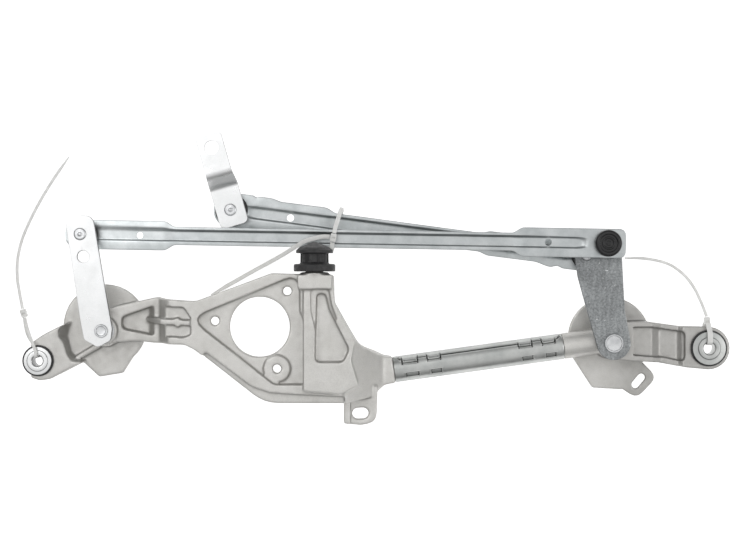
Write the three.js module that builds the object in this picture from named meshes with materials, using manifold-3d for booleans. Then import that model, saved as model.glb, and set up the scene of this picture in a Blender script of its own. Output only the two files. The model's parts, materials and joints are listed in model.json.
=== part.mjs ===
// Windshield wiper linkage without its motor: two die-cast brackets joined by a crimped tube, two wiper
// shafts with their levers, a cross rod, a motor rod with its loose crank, and three nylon ties.
// Millimetres. X runs along the linkage, Z points from the wiper arms towards the motor,
// and the origin is on the left body bolt, at the lower face of its sleeve.
import * as THREE from 'three';
import { mergeVertices } from 'three/addons/utils/BufferGeometryUtils.js';
import Module from 'manifold-3d';

const wasm = await Module();
wasm.setup();

// Plan positions of the axes
const LEFT_BOLT = [0, 0];
const RIGHT_BOLT = [536.8, 8.7];
const LEFT_PIVOT = [52.5, 24.2];
const RIGHT_PIVOT = [457.6, 13.5];
const LEFT_BALL = [35.9, 100.1];
const RIGHT_FRONT_BALL = [450.9, 93];
const RIGHT_BACK_BALL = [436, 83.5];
const CRANK_BALL = [151.9, 119.9];
const CRANK_HUB = [138, 168.5];
const MOTOR_AXIS = [176.9, 27.5];
const TUBE_LEFT_END = [282.8, -8.4];
const TUBE_RIGHT_END = [418.4, 10.4];
const PIN_X = 220;

// Levels
const LEFT_BOSS_TOP = 20;
const RIGHT_BOSS_TOP = 0;
const CROSS_ROD_LEVEL = 13;
const MOTOR_ROD_LEVEL = -8;
const RIGHT_BOLT_LEVEL = -22;
const TUBE_LEVEL = -10.8;
const PIN_LEVEL = 35;
const PLATE_BOTTOM = 22;
const PLATE_WEB = 28;
const PLATE_RIM = 34;
const FRAME_TOP = 41;

// Sizes shared by the sub-parts
const GAP = 0.3;
const LEVER_THICKNESS = 4;
const ROD_THICKNESS = 2;
const ROD_DEPTH = 6;
const BOSS_LENGTH = 44;
const BOSS_RADIUS = 11.5;
const BOSS_BORE = 8;
const DISC_DROP = 22;
const DISC_THICKNESS = 4;
const DISC_RADIUS = 33.6;
const DISC_SHIFT = 2.8;
const SHAFT_RADIUS = 6;
const RUNNING_CLEARANCE = 0.08;
const BUSH_LENGTH = 14;
const BALL_RADIUS = 6;
const NECK_RADIUS = 3.6;
const RIVET_RADIUS = 5;
const SOCKET_RADIUS = 8.7;
const SOCKET_CAP_RADIUS = 10.6;
const TUBE_RADIUS = 10.4;
const TUBE_WALL = 1.5;
const MOTOR_HOLE_RADIUS = 23.4;
const MOTOR_BOLT_CIRCLE = 35.3;
const MOTOR_BOLT_ANGLES = [172.5, 52.5, -67.5];
const MOTOR_BOLT_RADIUS = 3.4;
const CRANK_HUB_RADIUS = 5.6;
const STRAP_WIDTH = 2.4;
const CENTRE_STRAP_WIDTH = 3.4;
const RIGHT_LOOP_WIDTH = 4.2;
const STRAP_THICKNESS = 1.2;

const root = new THREE.Group();

const finishes = {
  casting: { color: 0xc6c4be, roughness: 0.55, metalness: 0.85 },
  tube: { color: 0xb4b8b5, roughness: 0.35, metalness: 0.95 },
  bright_zinc: { color: 0xf1f3f4, roughness: 0.3, metalness: 0.9 },
  blue_zinc: { color: 0xbcc6ca, roughness: 0.32, metalness: 0.9 },
  mottled_zinc: { color: 0x8f9498, roughness: 0.4, metalness: 0.9 },
  shaft_steel: { color: 0xb9bec2, roughness: 0.28, metalness: 1 },
  rubber: { color: 0x363738, roughness: 0.8, metalness: 0 },
  black_plastic: { color: 0x2e2f30, roughness: 0.45, metalness: 0 },
  bush: { color: 0x8a7a52, roughness: 0.5, metalness: 0.6 },
  nylon: { color: 0xe3e4e2, roughness: 0.4, metalness: 0 },
};

// --- shape helpers -----------------------------------------------------------------------------

function solidOf(geometry) {
  const bare = geometry.clone();
  bare.deleteAttribute('normal');
  bare.deleteAttribute('uv');
  const merged = mergeVertices(bare, 1e-4);
  const mesh = new wasm.Mesh({
    numProp: 3,
    vertProperties: new Float32Array(merged.attributes.position.array),
    triVerts: new Uint32Array(merged.index.array),
  });
  return new wasm.Manifold(mesh);
}

function geometryOf(solid) {
  const mesh = solid.getMesh();
  const geometry = new THREE.BufferGeometry();
  geometry.setAttribute('position', new THREE.BufferAttribute(mesh.vertProperties, 3));
  geometry.setIndex(new THREE.BufferAttribute(mesh.triVerts, 1));
  return geometry;
}

function joined(...solids) {
  return solids.reduce((whole, solid) => whole.add(solid));
}

function place(name, shape, finish) {
  const geometry = shape.isBufferGeometry ? shape : geometryOf(shape);
  const mesh = new THREE.Mesh(geometry, new THREE.MeshStandardMaterial(finishes[finish]));
  mesh.name = name;
  root.add(mesh);
}

// A closed outline through corners [x, y, fillet radius]; a corner without a radius stays sharp.
function outline(corners) {
  const shape = new THREE.Shape();
  corners.forEach(([x, y, radius = 0], i) => {
    const corner = new THREE.Vector2(x, y);
    const before = new THREE.Vector2(...corners.at(i - 1)).sub(corner);
    const after = new THREE.Vector2(...corners[(i + 1) % corners.length]).sub(corner);
    const half = Math.acos(before.clone().normalize().dot(after.clone().normalize())) / 2;
    const reach = radius / Math.tan(half);
    const start = before.setLength(reach).add(corner);
    const end = after.setLength(reach).add(corner);
    if (i === 0) shape.moveTo(start.x, start.y);
    else shape.lineTo(start.x, start.y);
    if (radius > 0) shape.quadraticCurveTo(x, y, end.x, end.y);
  });
  shape.closePath();
  return shape;
}

function prism(corners, bottom, top, segments = 3) {
  const options = { depth: top - bottom, bevelEnabled: false, curveSegments: segments };
  const geometry = new THREE.ExtrudeGeometry(outline(corners), options);
  geometry.translate(0, 0, bottom);
  return solidOf(geometry);
}

// A solid with sloping sides, from a lower outline to an upper one with as many corners and rounds.
function drafted(lower, upper, bottom, top) {
  const options = { depth: top - bottom, bevelEnabled: false, curveSegments: 3 };
  const geometry = new THREE.ExtrudeGeometry(outline(lower), options);
  const feet = outline(lower).getPoints(3);
  const crest = outline(upper).getPoints(3);
  const spots = geometry.attributes.position;
  for (let i = 0; i < spots.count; i += 1) {
    const spot = new THREE.Vector2(spots.getX(i), spots.getY(i));
    const match = feet.findIndex((foot) => foot.distanceTo(spot) < 1e-4);
    if (spots.getZ(i) > 0) spots.setXY(i, crest[match].x, crest[match].y);
  }
  geometry.translate(0, 0, bottom);
  return solidOf(geometry);
}

// A solid with the given outline in X and Z, reaching across Y.
function sideways(corners, y0, y1) {
  const options = { depth: y1 - y0, bevelEnabled: false, curveSegments: 3 };
  const geometry = new THREE.ExtrudeGeometry(outline(corners), options);
  geometry.rotateX(Math.PI / 2);
  geometry.translate(0, y1, 0);
  return solidOf(geometry);
}

function disc([x, y], radius, bottom, top, segments = 20) {
  const geometry = new THREE.CylinderGeometry(radius, radius, top - bottom, segments);
  geometry.rotateX(Math.PI / 2);
  geometry.translate(x, y, (bottom + top) / 2);
  return solidOf(geometry);
}

// A slot or a pad with round ends, centred on a point and turned by an angle in degrees.
function capsule([x, y], halfLength, radius, angle, bottom, top) {
  const reach = halfLength - radius;
  const shape = new THREE.Shape();
  shape.absarc(reach, 0, radius, -Math.PI / 2, Math.PI / 2);
  shape.absarc(-reach, 0, radius, Math.PI / 2, 1.5 * Math.PI);
  const options = { depth: top - bottom, bevelEnabled: false, curveSegments: 8 };
  const geometry = new THREE.ExtrudeGeometry(shape, options);
  geometry.rotateZ(THREE.MathUtils.degToRad(angle));
  geometry.translate(x, y, bottom);
  return solidOf(geometry);
}

// A turned piece: the profile lists [radius, height] from one end to the other, in either direction.
function turned(profile, segments = 16) {
  const points = profile.map(([radius, height]) => new THREE.Vector2(radius, height));
  if (THREE.ShapeUtils.area(points) < 0) points.reverse();
  if (points[0].x > 0) points.push(points[0].clone());
  const geometry = new THREE.LatheGeometry(points, segments);
  geometry.rotateX(Math.PI / 2);
  return geometry;
}

// A turned piece on a vertical axis; up = -1 turns it over.
function turnedAt([x, y], z, profile, up = 1, segments = 16) {
  const geometry = turned(profile, segments);
  if (up < 0) geometry.rotateX(Math.PI);
  geometry.translate(x, y, z);
  return solidOf(geometry);
}

// A bar between two points of the plan, with its axis on one level.
function bar([x0, y0], [x1, y1], level, radius, segments = 24) {
  const length = Math.hypot(x1 - x0, y1 - y0);
  const geometry = new THREE.CylinderGeometry(radius, radius, length, segments);
  geometry.rotateZ(-Math.PI / 2 + Math.atan2(y1 - y0, x1 - x0));
  geometry.translate((x0 + x1) / 2, (y0 + y1) / 2, level);
  return solidOf(geometry);
}

function between([x0, y0], [x1, y1], distance) {
  const length = Math.hypot(x1 - x0, y1 - y0);
  return [x0 + (x1 - x0) * distance / length, y0 + (y1 - y0) * distance / length];
}

// Turns and moves a solid drawn along X from the origin so that it starts at one point
// of the plan and points at another.
function aimed(solid, [x0, y0], [x1, y1]) {
  const angle = THREE.MathUtils.radToDeg(Math.atan2(y1 - y0, x1 - x0));
  return solid.rotate([0, 0, angle]).translate([x0, y0, 0]);
}

// --- brackets ----------------------------------------------------------------------------------

function pivotHousing([x, y], top, discOffset) {
  const bottom = top - BOSS_LENGTH;
  const discBottom = top - DISC_DROP - DISC_THICKNESS;
  const centre = [x + discOffset, y + DISC_SHIFT];
  return joined(
    disc([x, y], BOSS_RADIUS, bottom, top, 24),
    disc([x, y], 13.2, discBottom, top - 9, 24),
    disc(centre, DISC_RADIUS, discBottom, discBottom + DISC_THICKNESS, 36),
  );
}

function motorBracket() {
  const bodyOutline = [
    [52, 39], [62.9, 43.4, 8], [79.3, 47.2, 10], [94, 50.5, 10], [110, 48.7], [127, 47.6, 14], [142.6, 53.4],
    [186.3, 69.5, 4], [235, 68.1, 1.5], [235.6, 47, 10], [255, 12.4, 16], [274, 3.3, 6], [280.9, 2.2],
    [283.6, -18.4], [275, -20, 4], [264, -29, 8], [243.3, -32.4], [180.4, -32.4, 32],
    [126.6, 9.7, 10], [119, 13.6, 10], [92, 14.3, 8], [80, 15.8], [58, 14.6],
  ];
  // The body in side view: low beside the left lever, up to the motor plate, down to the tube.
  const sideView = [
    [40, -4], [95, -4, 3], [104.5, PLATE_BOTTOM, 3], [246, PLATE_BOTTOM, 6], [266, -20.2, 6], [284, -20.2],
    [284, 0.2], [274, 1.5, 8], [244, PLATE_RIM, 8], [105.6, PLATE_RIM, 3], [97, 14, 3], [40, 14],
  ];
  let body = prism(bodyOutline, -30, 60, 4).intersect(sideways(sideView, -60, 90));

  // The arm's pocket follows the same step, with a rib along its middle.
  const armPocket = [
    [66.4, 34.8, 4.4], [91.8, 43.6, 6], [118, 43.2, 5], [123.6, 34.5, 3], [123.6, 21, 3], [118, 19.4, 3],
    [91.8, 20.3, 4], [66.4, 25.4, 4.4],
  ];
  const armFloor = [[40, 6], [88, 6, 3], [100.5, PLATE_WEB, 3], [130, PLATE_WEB], [130, 60], [40, 60]];
  body = body.subtract(prism(armPocket, 0, 60).intersect(sideways(armFloor, 0, 60)));
  const armRib = [[86, 31], [111, 29, 1], [113, 27, 1], [116, 29, 1], [124, 28.6], [124, 32.6], [116, 33, 1],
    [113, 35, 1], [110, 33.4, 1], [86, 34.6]];
  const ribTop = [[80, 0], [93, 2], [103, 25], [126, 25], [126, PLATE_RIM - 1.5], [100, PLATE_RIM - 1.5],
    [87.5, 11], [80, 9]];
  body = body.add(prism(armRib, 0, 60, 2).intersect(sideways(ribTop, 20, 40)));

  // The motor's seat, its opening and its three bolt holes.
  const seat = [
    [122.6, 34.2, 8.3], [208, 69.5, 9], [208.6, 40], [211.6, 33], [211.6, -17.3, 1], [188.2, -17.3, 9],
  ];
  body = body.subtract(prism(seat, PLATE_WEB, 60, 4));
  const bolts = MOTOR_BOLT_ANGLES.map((angle) => {
    const turn = THREE.MathUtils.degToRad(angle);
    const [x, y] = MOTOR_AXIS;
    return [x + MOTOR_BOLT_CIRCLE * Math.cos(turn), y + MOTOR_BOLT_CIRCLE * Math.sin(turn)];
  });
  body = body.add(disc(bolts[2], 10.6, PLATE_BOTTOM, PLATE_WEB + 2.5));
  body = body.subtract(disc(MOTOR_AXIS, MOTOR_HOLE_RADIUS, 0, 60, 40));
  bolts.forEach((bolt) => {
    body = body.subtract(disc(bolt, MOTOR_BOLT_RADIUS, 0, 60, 16));
  });

  // The lower ledge outside the plate's second rib.
  const ledge = [
    [135, 8.4, 2], [170.6, -18.3, 16], [184.6, -23.2, 12], [206, -24.8, 10], [243.4, -26.4], [243.4, -42],
    [160, -42], [128.5, 0],
  ];
  body = body.subtract(prism(ledge, PLATE_WEB - 1, 60, 4));

  // The raised frame that carries the locating pin, with its two nested pockets.
  const frame = [
    [211.6, 64], [235, 64, 1], [235.4, 47, 6], [251.6, 17, 4], [248.4, 2, 6], [254.2, -17.4, 1.6],
    [240.6, -24.4, 2], [211.6, -21.8, 1],
  ];
  const head = [[207.4, 57, 2], [233.4, 57, 2], [233.4, 68.4, 1], [207.4, 68.4, 1]];
  body = body.add(prism(frame, 24, FRAME_TOP));
  body = body.add(prism(head, 24, FRAME_TOP + 4.2));
  const wide = [
    [216.8, 57.4, 3], [231.4, 57.4, 3], [233.4, 45, 6], [237.4, 34], [226, 20], [221.4, 22, 1],
    [217.2, 40, 8],
  ];
  const narrow = [[221.8, 53.6, 2.6], [228.6, 53.6, 2.6], [231.6, 41, 12], [247.2, 10.4, 6], [242.4, 0.4, 5],
    [220.2, 0.4, 4]];
  body = body.subtract(prism(wide, FRAME_TOP - 2, 60));
  body = body.subtract(prism(narrow, FRAME_TOP - 7, 60));

  // The locating pin and its boss.
  const boss = turned([
    [0, 0], [10, 0], [10, 6.6], [11.1, 6.8], [11.1, 8.4], [6, 8.6], [6, 26], [5, 27], [0, 27],
  ]);
  boss.rotateX(-Math.PI / 2);
  boss.translate(PIN_X, 61.8, PIN_LEVEL);
  body = body.add(solidOf(boss));

  // The slotted tab.
  const tab = [[242.4, -24], [242.4, -50, 2], [256, -51.2, 4], [268.4, -49, 9], [269.2, -20]];
  body = body.add(prism(tab, 5, 11).subtract(capsule([255.5, -41.7], 6.5, 4.3, 2, 0, 20)));
  body = body.add(prism([[242.4, -24], [242.4, -49.6, 1], [247.6, -50, 1], [247.6, -24]], 5, 15));

  // The spigot inside the frame tube.
  body = body.add(bar([263, -11.1], between(TUBE_LEFT_END, TUBE_RIGHT_END, -GAP), TUBE_LEVEL, TUBE_RADIUS));
  body = body.add(bar([263, -11.1], between(TUBE_LEFT_END, TUBE_RIGHT_END, 22), TUBE_LEVEL, 8.6));

  // The pivot housing, the plate below it and the forked ear.
  const discBottom = LEFT_BOSS_TOP - DISC_DROP - DISC_THICKNESS;
  const skirt = [[30, 6], [33.4, -2], [46.2, -13.8, 2], [65.4, -10.6, 2], [82, 16], [60, 30]];
  body = body.add(pivotHousing(LEFT_PIVOT, LEFT_BOSS_TOP, -1.6));
  body = body.add(prism(skirt, discBottom, discBottom + DISC_THICKNESS));
  const ear = [
    [-1, 17.6], [5, 21.4, 2], [18.4, 28.2], [15.2, 24.4, 2.5], [15.4, 19.6, 4], [20.2, 13.2, 6],
    [22.2, 5.6, 6], [26, -0.4, 4], [34.4, -1.6], [9, -14.8, 6], [1, -16, 4], [-6, -13.6, 1], [-6, 0],
    [-6, 14],
  ];
  body = body.add(prism(ear, 2, 10));
  // The ear's root: its wall slopes down to the web.
  const rootCrest = [
    [13.6, 25.6], [18.4, 28.2], [15.2, 24.4, 2.5], [15.4, 19.6, 4], [20.2, 13.2, 6], [22.2, 5.6, 6],
    [26, -0.4, 4], [34.4, -1.6], [13.6, -12.4],
  ];
  const rootFoot = [
    [13.6, 25.6], [24.4, 30.6], [21.8, 24, 3], [20.8, 18.5, 4], [22.4, 12.5, 6], [23.8, 6.5, 4],
    [27, 2.6, 3], [36, -0.8], [13.6, -12.4],
  ];
  const webTop = discBottom + DISC_THICKNESS;
  body = body.add(drafted(rootFoot, rootCrest, webTop, 10));
  body = body.add(prism(rootFoot, discBottom, webTop));
  const web = [[17, 24, 2], [40, 32], [44, 4], [27, 0, 3], [20, 9, 5], [17, 16, 4]];
  body = body.add(prism(web, discBottom, webTop));
  body = body.add(prism([[28, -1], [48, 10], [46, 14], [28, 3]], discBottom, 4));
  body = body.subtract(disc(LEFT_BOLT, 9, 0, 12, 24));
  body = body.subtract(prism([[-20, 9], [0, 9], [0, -9], [-20, -9]], 0, 12));
  body = body.subtract(disc(LEFT_PIVOT, BOSS_BORE, -60, 60, 24));
  place('motor_bracket_casting', body, 'casting');
}

function pivotBracket() {
  const discBottom = RIGHT_BOSS_TOP - DISC_DROP - DISC_THICKNESS;
  let body = pivotHousing(RIGHT_PIVOT, RIGHT_BOSS_TOP, 0.6);
  const skirt = [[428, 4], [431, -3.4], [444.4, -24, 2], [468, -25.4], [484, -2], [470, 20]];
  const tab = [[484.5, -2.5, 2], [497.2, -15.4, 7], [480.6, -33, 8], [466, -23]];
  body = body.add(prism(skirt, discBottom, discBottom + DISC_THICKNESS));
  body = body.add(prism(tab, discBottom, discBottom + DISC_THICKNESS));
  body = body.subtract(capsule([482, -18.6], 6.9, 3.2, 50, -40, 0));

  // The arm in plan and in side view, with the channel between its two rims.
  const arm = [[462, 30], [485.3, 30.4, 10], [513.4, 26.6, 10], [537, 26], [537, -8.6], [519.5, -7, 10],
    [494.7, -2.4, 8], [462, 0]];
  const sideView = [
    [460, -26], [498, -26, 3], [505, -20, 3], [537, -20], [537, -12], [516, -12, 2], [511, -7, 2],
    [498, -7, 2], [489, -2, 2], [460, -2],
  ];
  body = body.add(prism(arm, -40, 20).intersect(sideways(sideView, -20, 50)));
  const channel = [[474, 26], [488, 26.2, 8], [518, 22, 4], [518, -2.4, 4], [500, 1.4, 6], [474, 3.4]];
  const floor = [
    [460, -8], [490, -8, 2], [497, -13, 2], [511, -13, 2], [515.5, -16.5, 2], [520, -16.5], [520, 20],
    [460, 20],
  ];
  body = body.subtract(prism(channel, -40, 20).intersect(sideways(floor, -20, 50)));
  body = body.add(disc(RIGHT_PIVOT, BOSS_RADIUS, -20, RIGHT_BOSS_TOP, 24));
  body = body.add(disc(RIGHT_BOLT, 17.3, RIGHT_BOLT_LEVEL + 2, RIGHT_BOLT_LEVEL + 10, 28));

  body = body.add(bar([456, 15.6], between(TUBE_RIGHT_END, TUBE_LEFT_END, -GAP), TUBE_LEVEL, TUBE_RADIUS));
  body = body.add(bar([456, 15.6], between(TUBE_RIGHT_END, TUBE_LEFT_END, 22), TUBE_LEVEL, 8.6));
  body = body.subtract(disc(RIGHT_BOLT, 9, -40, 0, 24));
  body = body.subtract(disc(RIGHT_PIVOT, BOSS_BORE, -60, 60, 24));
  place('right_pivot_casting', body, 'casting');
}

function frameTube() {
  const outer = bar(TUBE_LEFT_END, TUBE_RIGHT_END, TUBE_LEVEL, TUBE_RADIUS, 32);
  const start = between(TUBE_LEFT_END, TUBE_RIGHT_END, -1);
  const end = between(TUBE_RIGHT_END, TUBE_LEFT_END, -1);
  place('frame_tube', outer.subtract(bar(start, end, TUBE_LEVEL, TUBE_RADIUS - TUBE_WALL, 32)), 'tube');
}

// A rubber grommet in the ear, with a flanged steel sleeve for the body bolt.
function bodyMount(side, bolt, level, washerRadius, boreRadius) {
  const grommet = [[6.3, 0.4], [12.4, 0.4], [12.4, 1.7], [8.7, 1.7], [8.7, 10.3], [washerRadius + 1.4, 10.3],
    [washerRadius + 1.4, 11.8], [6.3, 11.8]];
  const sleeve = [[boreRadius, 0], [6, 0], [6, 12.1], [washerRadius, 12.1], [washerRadius, 13.2],
    [boreRadius + 4.2, 13.2], [boreRadius + 3.8, 14.1], [boreRadius + 0.8, 14.1], [boreRadius, 13.3]];
  place(`${side}_ear_grommet`, turnedAt(bolt, level, grommet, 1, 24), 'rubber');
  place(`${side}_ear_sleeve`, turnedAt(bolt, level, sleeve, 1, 24), side === 'left' ? 'bright_zinc' : 'tube');
}

function locatingGrommet() {
  const profile = [[6.3, 0], [16.2, 0], [16.2, 5.8], [11.6, 6], [10.6, 7.4], [10.6, 14.2], [14.4, 14.2],
    [14.4, 16.6],
    [12, 18.6], [1, 23], [0, 23], [0, 20], [6.3, 20]];
  const points = profile.map(([radius, height]) => new THREE.Vector2(radius, height));
  points.push(points[0].clone());
  const geometry = new THREE.LatheGeometry(points, 20);
  geometry.translate(PIN_X, 70.8, PIN_LEVEL);
  place('locating_grommet', solidOf(geometry), 'rubber');
}

// --- pivots ------------------------------------------------------------------------------------

function pivotBushes(side, pivot, top) {
  const inner = SHAFT_RADIUS + RUNNING_CLEARANCE;
  const outer = BOSS_BORE - GAP;
  const profile = [[inner, 0], [outer, 0], [outer, BUSH_LENGTH], [inner, BUSH_LENGTH]];
  place(`${side}_upper_bush`, turnedAt(pivot, top - 0.5 - BUSH_LENGTH, profile, 1, 24), 'bush');
  place(`${side}_lower_bush`, turnedAt(pivot, top - BOSS_LENGTH + 0.5, profile, 1, 24), 'bush');
}

// The wiper shaft is staked into its lever and ends in a knurled taper and a thread for the arm's nut.
function wiperShaft(side, pivot, top, headRadius) {
  const lever = top + 1;
  const stake = lever + LEVER_THICKNESS + GAP;
  const profile = [
    [0, stake + 1.6], [headRadius - 1, stake + 1.6], [headRadius, stake + 0.8], [headRadius, stake],
    [4.4, stake], [4.4, lever - GAP], [SHAFT_RADIUS, lever - GAP], [SHAFT_RADIUS, top - 46.6],
    [5.1, top - 46.6],
    [5.1, top - 48.4], [SHAFT_RADIUS, top - 48.4], [SHAFT_RADIUS, top - 53], [4.9, top - 63],
    [3.9, top - 63.6],
    [3.9, top - 77], [3.2, top - 78], [0, top - 78],
  ];
  place(`${side}_wiper_shaft`, turnedAt(pivot, 0, profile, 1, 24), 'shaft_steel');
  const washer = (bottom, radius, thickness) => turnedAt(pivot, bottom, [
    [SHAFT_RADIUS + GAP, 0], [radius, 0], [radius, thickness], [SHAFT_RADIUS + GAP, thickness],
  ]);
  place(`${side}_upper_thrust_washer`, washer(top + 0.1, 9.5, 0.5), 'shaft_steel');
  place(`${side}_lower_thrust_washer`, washer(top - 45.9, 10.2, 1.2), 'shaft_steel');
  const ring = turnedAt(pivot, top - 48, [[5.3, 0], [8.2, 0], [8.2, 1.1], [5.3, 1.1]]);
  const [x, y] = pivot;
  const mouth = prism([[x - 2.4, y], [x + 2.4, y], [x + 2.4, y + 12], [x - 2.4, y + 12]], top - 50, top - 44);
  place(`${side}_circlip`, ring.subtract(mouth), 'shaft_steel');
}

// --- levers ------------------------------------------------------------------------------------

function levers() {
  const leftBottom = LEFT_BOSS_TOP + 1;
  const leftPlate = [[23.6, 115, 9], [45.8, 115, 9], [56.4, 51.6], [61, 25.8, 3], [59.9, 16.8, 4],
    [50, 11.2, 5],
    [38.9, 17.4, 5], [35.7, 34.7]];
  let plate = prism(leftPlate, leftBottom, leftBottom + LEVER_THICKNESS);
  plate = plate.subtract(disc(LEFT_PIVOT, 4.4 + GAP, 0, 60, 24));
  plate = plate.subtract(disc(LEFT_BALL, NECK_RADIUS + GAP, 0, 60, 24));
  plate = plate.subtract(disc([38.3, 82.5], 4.7, 0, 60, 24));
  place('left_lever_plate', plate, 'bright_zinc');

  const rightBottom = RIGHT_BOSS_TOP + 1;
  const rightPlate = [[424.4, 96, 8], [438, 103.2, 8], [463.4, 103.4, 7], [464.2, 79.9], [466.2, 40, 8],
    [471, 16], [458, 6], [444.9, 11], [437.3, 35.7, 8], [429, 66, 8]];
  plate = prism(rightPlate, rightBottom, rightBottom + LEVER_THICKNESS);
  plate = plate.add(disc(RIGHT_PIVOT, 13.4, rightBottom, rightBottom + LEVER_THICKNESS));
  plate = plate.subtract(disc(RIGHT_PIVOT, 4.4 + GAP, -10, 20, 24));
  plate = plate.subtract(disc(RIGHT_FRONT_BALL, NECK_RADIUS + GAP, -10, 20, 24));
  plate = plate.subtract(disc(RIGHT_BACK_BALL, NECK_RADIUS + GAP, -10, 20, 24));
  place('right_lever_plate', plate, 'mottled_zinc');
}

// The crank is bent up between the rod's ball and the motor shaft's hub.
function crankArm() {
  const length = Math.hypot(CRANK_HUB[0] - CRANK_BALL[0], CRANK_HUB[1] - CRANK_BALL[1]);
  const plan = [[-13, 11.5, 4], [18, 11.5], [31, 10.5], [62.4, 10.5, 2.5], [62.4, -10.5, 2.5],
    [31, -10.5], [18, -11.5],
    [-13, -11.5, 4]];
  const side = [[-14, 1], [19, 1, 2], [32, 13, 2], [64, 13], [64, 17], [30.4, 17, 3], [17.4, 5, 3], [-14, 5]];
  let plate = prism(plan, 0, 20).intersect(sideways(side, -20, 20));
  plate = plate.subtract(disc([length, 0], CRANK_HUB_RADIUS, 0, 20, 32));
  plate = plate.subtract(disc([0, 0], NECK_RADIUS + GAP, 0, 20, 24));
  place('crank_arm_plate', aimed(plate, CRANK_BALL, CRANK_HUB), 'bright_zinc');
}

// --- ball joints -------------------------------------------------------------------------------

// A ball stud riveted into a lever. Heights run from the lever's face towards the ball.
function ballStud(name, centre, face, towards, ballDistance) {
  const sink = Math.sqrt(BALL_RADIUS ** 2 - NECK_RADIUS ** 2);
  const ball = [];
  for (let i = 0; i <= 5; i += 1) {
    const start = Math.PI - Math.asin(NECK_RADIUS / BALL_RADIUS);
    const angle = start * (1 - i / 5);
    ball.push([BALL_RADIUS * Math.sin(angle), ballDistance + BALL_RADIUS * Math.cos(angle)]);
  }
  ball[5][0] = 0;
  const back = -LEVER_THICKNESS - GAP;
  const profile = [
    [0, back - 1.4], [RIVET_RADIUS - 1.2, back - 1.4], [RIVET_RADIUS, back - 0.5], [RIVET_RADIUS, back],
    [NECK_RADIUS, back], [NECK_RADIUS, GAP], [NECK_RADIUS + 1, GAP], [NECK_RADIUS + 1, 1.2],
    [NECK_RADIUS, 1.4],
    [NECK_RADIUS, ballDistance - sink], ...ball.slice(1),
  ];
  place(name, turnedAt(centre, face, profile, towards, 14), 'shaft_steel');
}

// The plastic socket snaps into the rod's hole. Heights run from the rod plate's near face, away from
// the lever.
function ballSocket(name, centre, face, towards) {
  const cup = BALL_RADIUS + 0.35;
  const inner = [];
  for (let i = 0; i <= 5; i += 1) {
    const angle = -0.85 + i * (Math.PI / 2 + 0.85) / 5;
    inner.push([cup * Math.cos(angle), 1 + cup * Math.sin(angle)]);
  }
  inner[5][0] = 0;
  const far = ROD_THICKNESS + GAP;
  const profile = [
    [0, far + 6.9], [3, far + 6.9], [3.4, far + 6.3], [5.6, far + 6.3], [6, far + 6.9], [8.6, far + 6.9],
    [SOCKET_CAP_RADIUS, far + 5.4], [SOCKET_CAP_RADIUS, far], [SOCKET_RADIUS, far], [SOCKET_RADIUS, -GAP],
    [SOCKET_RADIUS + 1, -GAP], [SOCKET_RADIUS + 1, -1.6], [inner[0][0] + 1.2, -3.4], ...inner,
  ];
  place(name, turnedAt(centre, face, profile, towards, 16), 'black_plastic');
}

// The dust boot closes the gap between the socket and the lever.
function dustBoot(name, centre, face, towards, gap) {
  const profile = [
    [5.4, GAP], [8, GAP], [8.6, 1], [8.2, gap * 0.3], [11, gap - 1.6], [11, gap - GAP],
    [SOCKET_RADIUS + 1.3, gap - GAP],
    [SOCKET_RADIUS + 1.3, gap - 1.9], [6.6, gap * 0.3], [5.4, 1.2],
  ];
  place(name, turnedAt(centre, face, profile, towards, 16), 'rubber');
}

// --- rods --------------------------------------------------------------------------------------

// A pressed rod: a flat strip with a trough along its middle. Drawn along X from its first ball.
function pressedRod(halfOutline, level, trough, holes, sockets) {
  const lower = halfOutline.map(([x, y, radius]) => [x, -y, radius]).reverse();
  const top = level + ROD_THICKNESS;
  const bottom = top - ROD_DEPTH;
  let rod = prism([...halfOutline, ...lower], level, top, 3);
  const [start, end, half] = trough;
  const slope = 5;
  const wall = 1.6;
  const outerSide = [
    [start, top - 0.4], [start + slope, bottom, 2], [end - slope, bottom, 2], [end, top - 0.4],
  ];
  const innerSide = [[start + wall, top + 1], [start + slope + wall, bottom + wall, 2],
    [end - slope - wall, bottom + wall, 2], [end - wall, top + 1]];
  rod = rod.add(sideways(outerSide, -half, half));
  rod = rod.subtract(sideways(innerSide, wall - half, half - wall));
  holes.forEach(([x, radius]) => {
    rod = rod.subtract(disc([x, 0], radius, -40, 40, 16));
  });
  sockets.forEach(([x, halfLength]) => {
    rod = rod.subtract(capsule([x, 0], halfLength, SOCKET_RADIUS + GAP, 0, -40, 40));
  });
  return rod;
}

function crossRod() {
  const length = Math.hypot(RIGHT_FRONT_BALL[0] - LEFT_BALL[0], RIGHT_FRONT_BALL[1] - LEFT_BALL[1]);
  const half = [[-13.5, 11.6, 8], [66, 11.6, 5], [75, 7.1, 5], [length - 75, 7.1, 5], [length - 67, 11.6, 5],
    [length + 14.6, 11.6, 5]];
  const trough = [17, length - 31, 5.8];
  const holes = [[45, 2.6], [length - 46.6, 2.7]];
  // The left socket's hole is oblong, because the left ball joint is the linkage's open pivot.
  const sockets = [[1, SOCKET_RADIUS + GAP + 1.7], [length, SOCKET_RADIUS + GAP + 0.01]];
  const rod = pressedRod(half, CROSS_ROD_LEVEL, trough, holes, sockets);
  place('cross_rod_plate', aimed(rod, LEFT_BALL, RIGHT_FRONT_BALL), 'blue_zinc');
}

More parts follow.
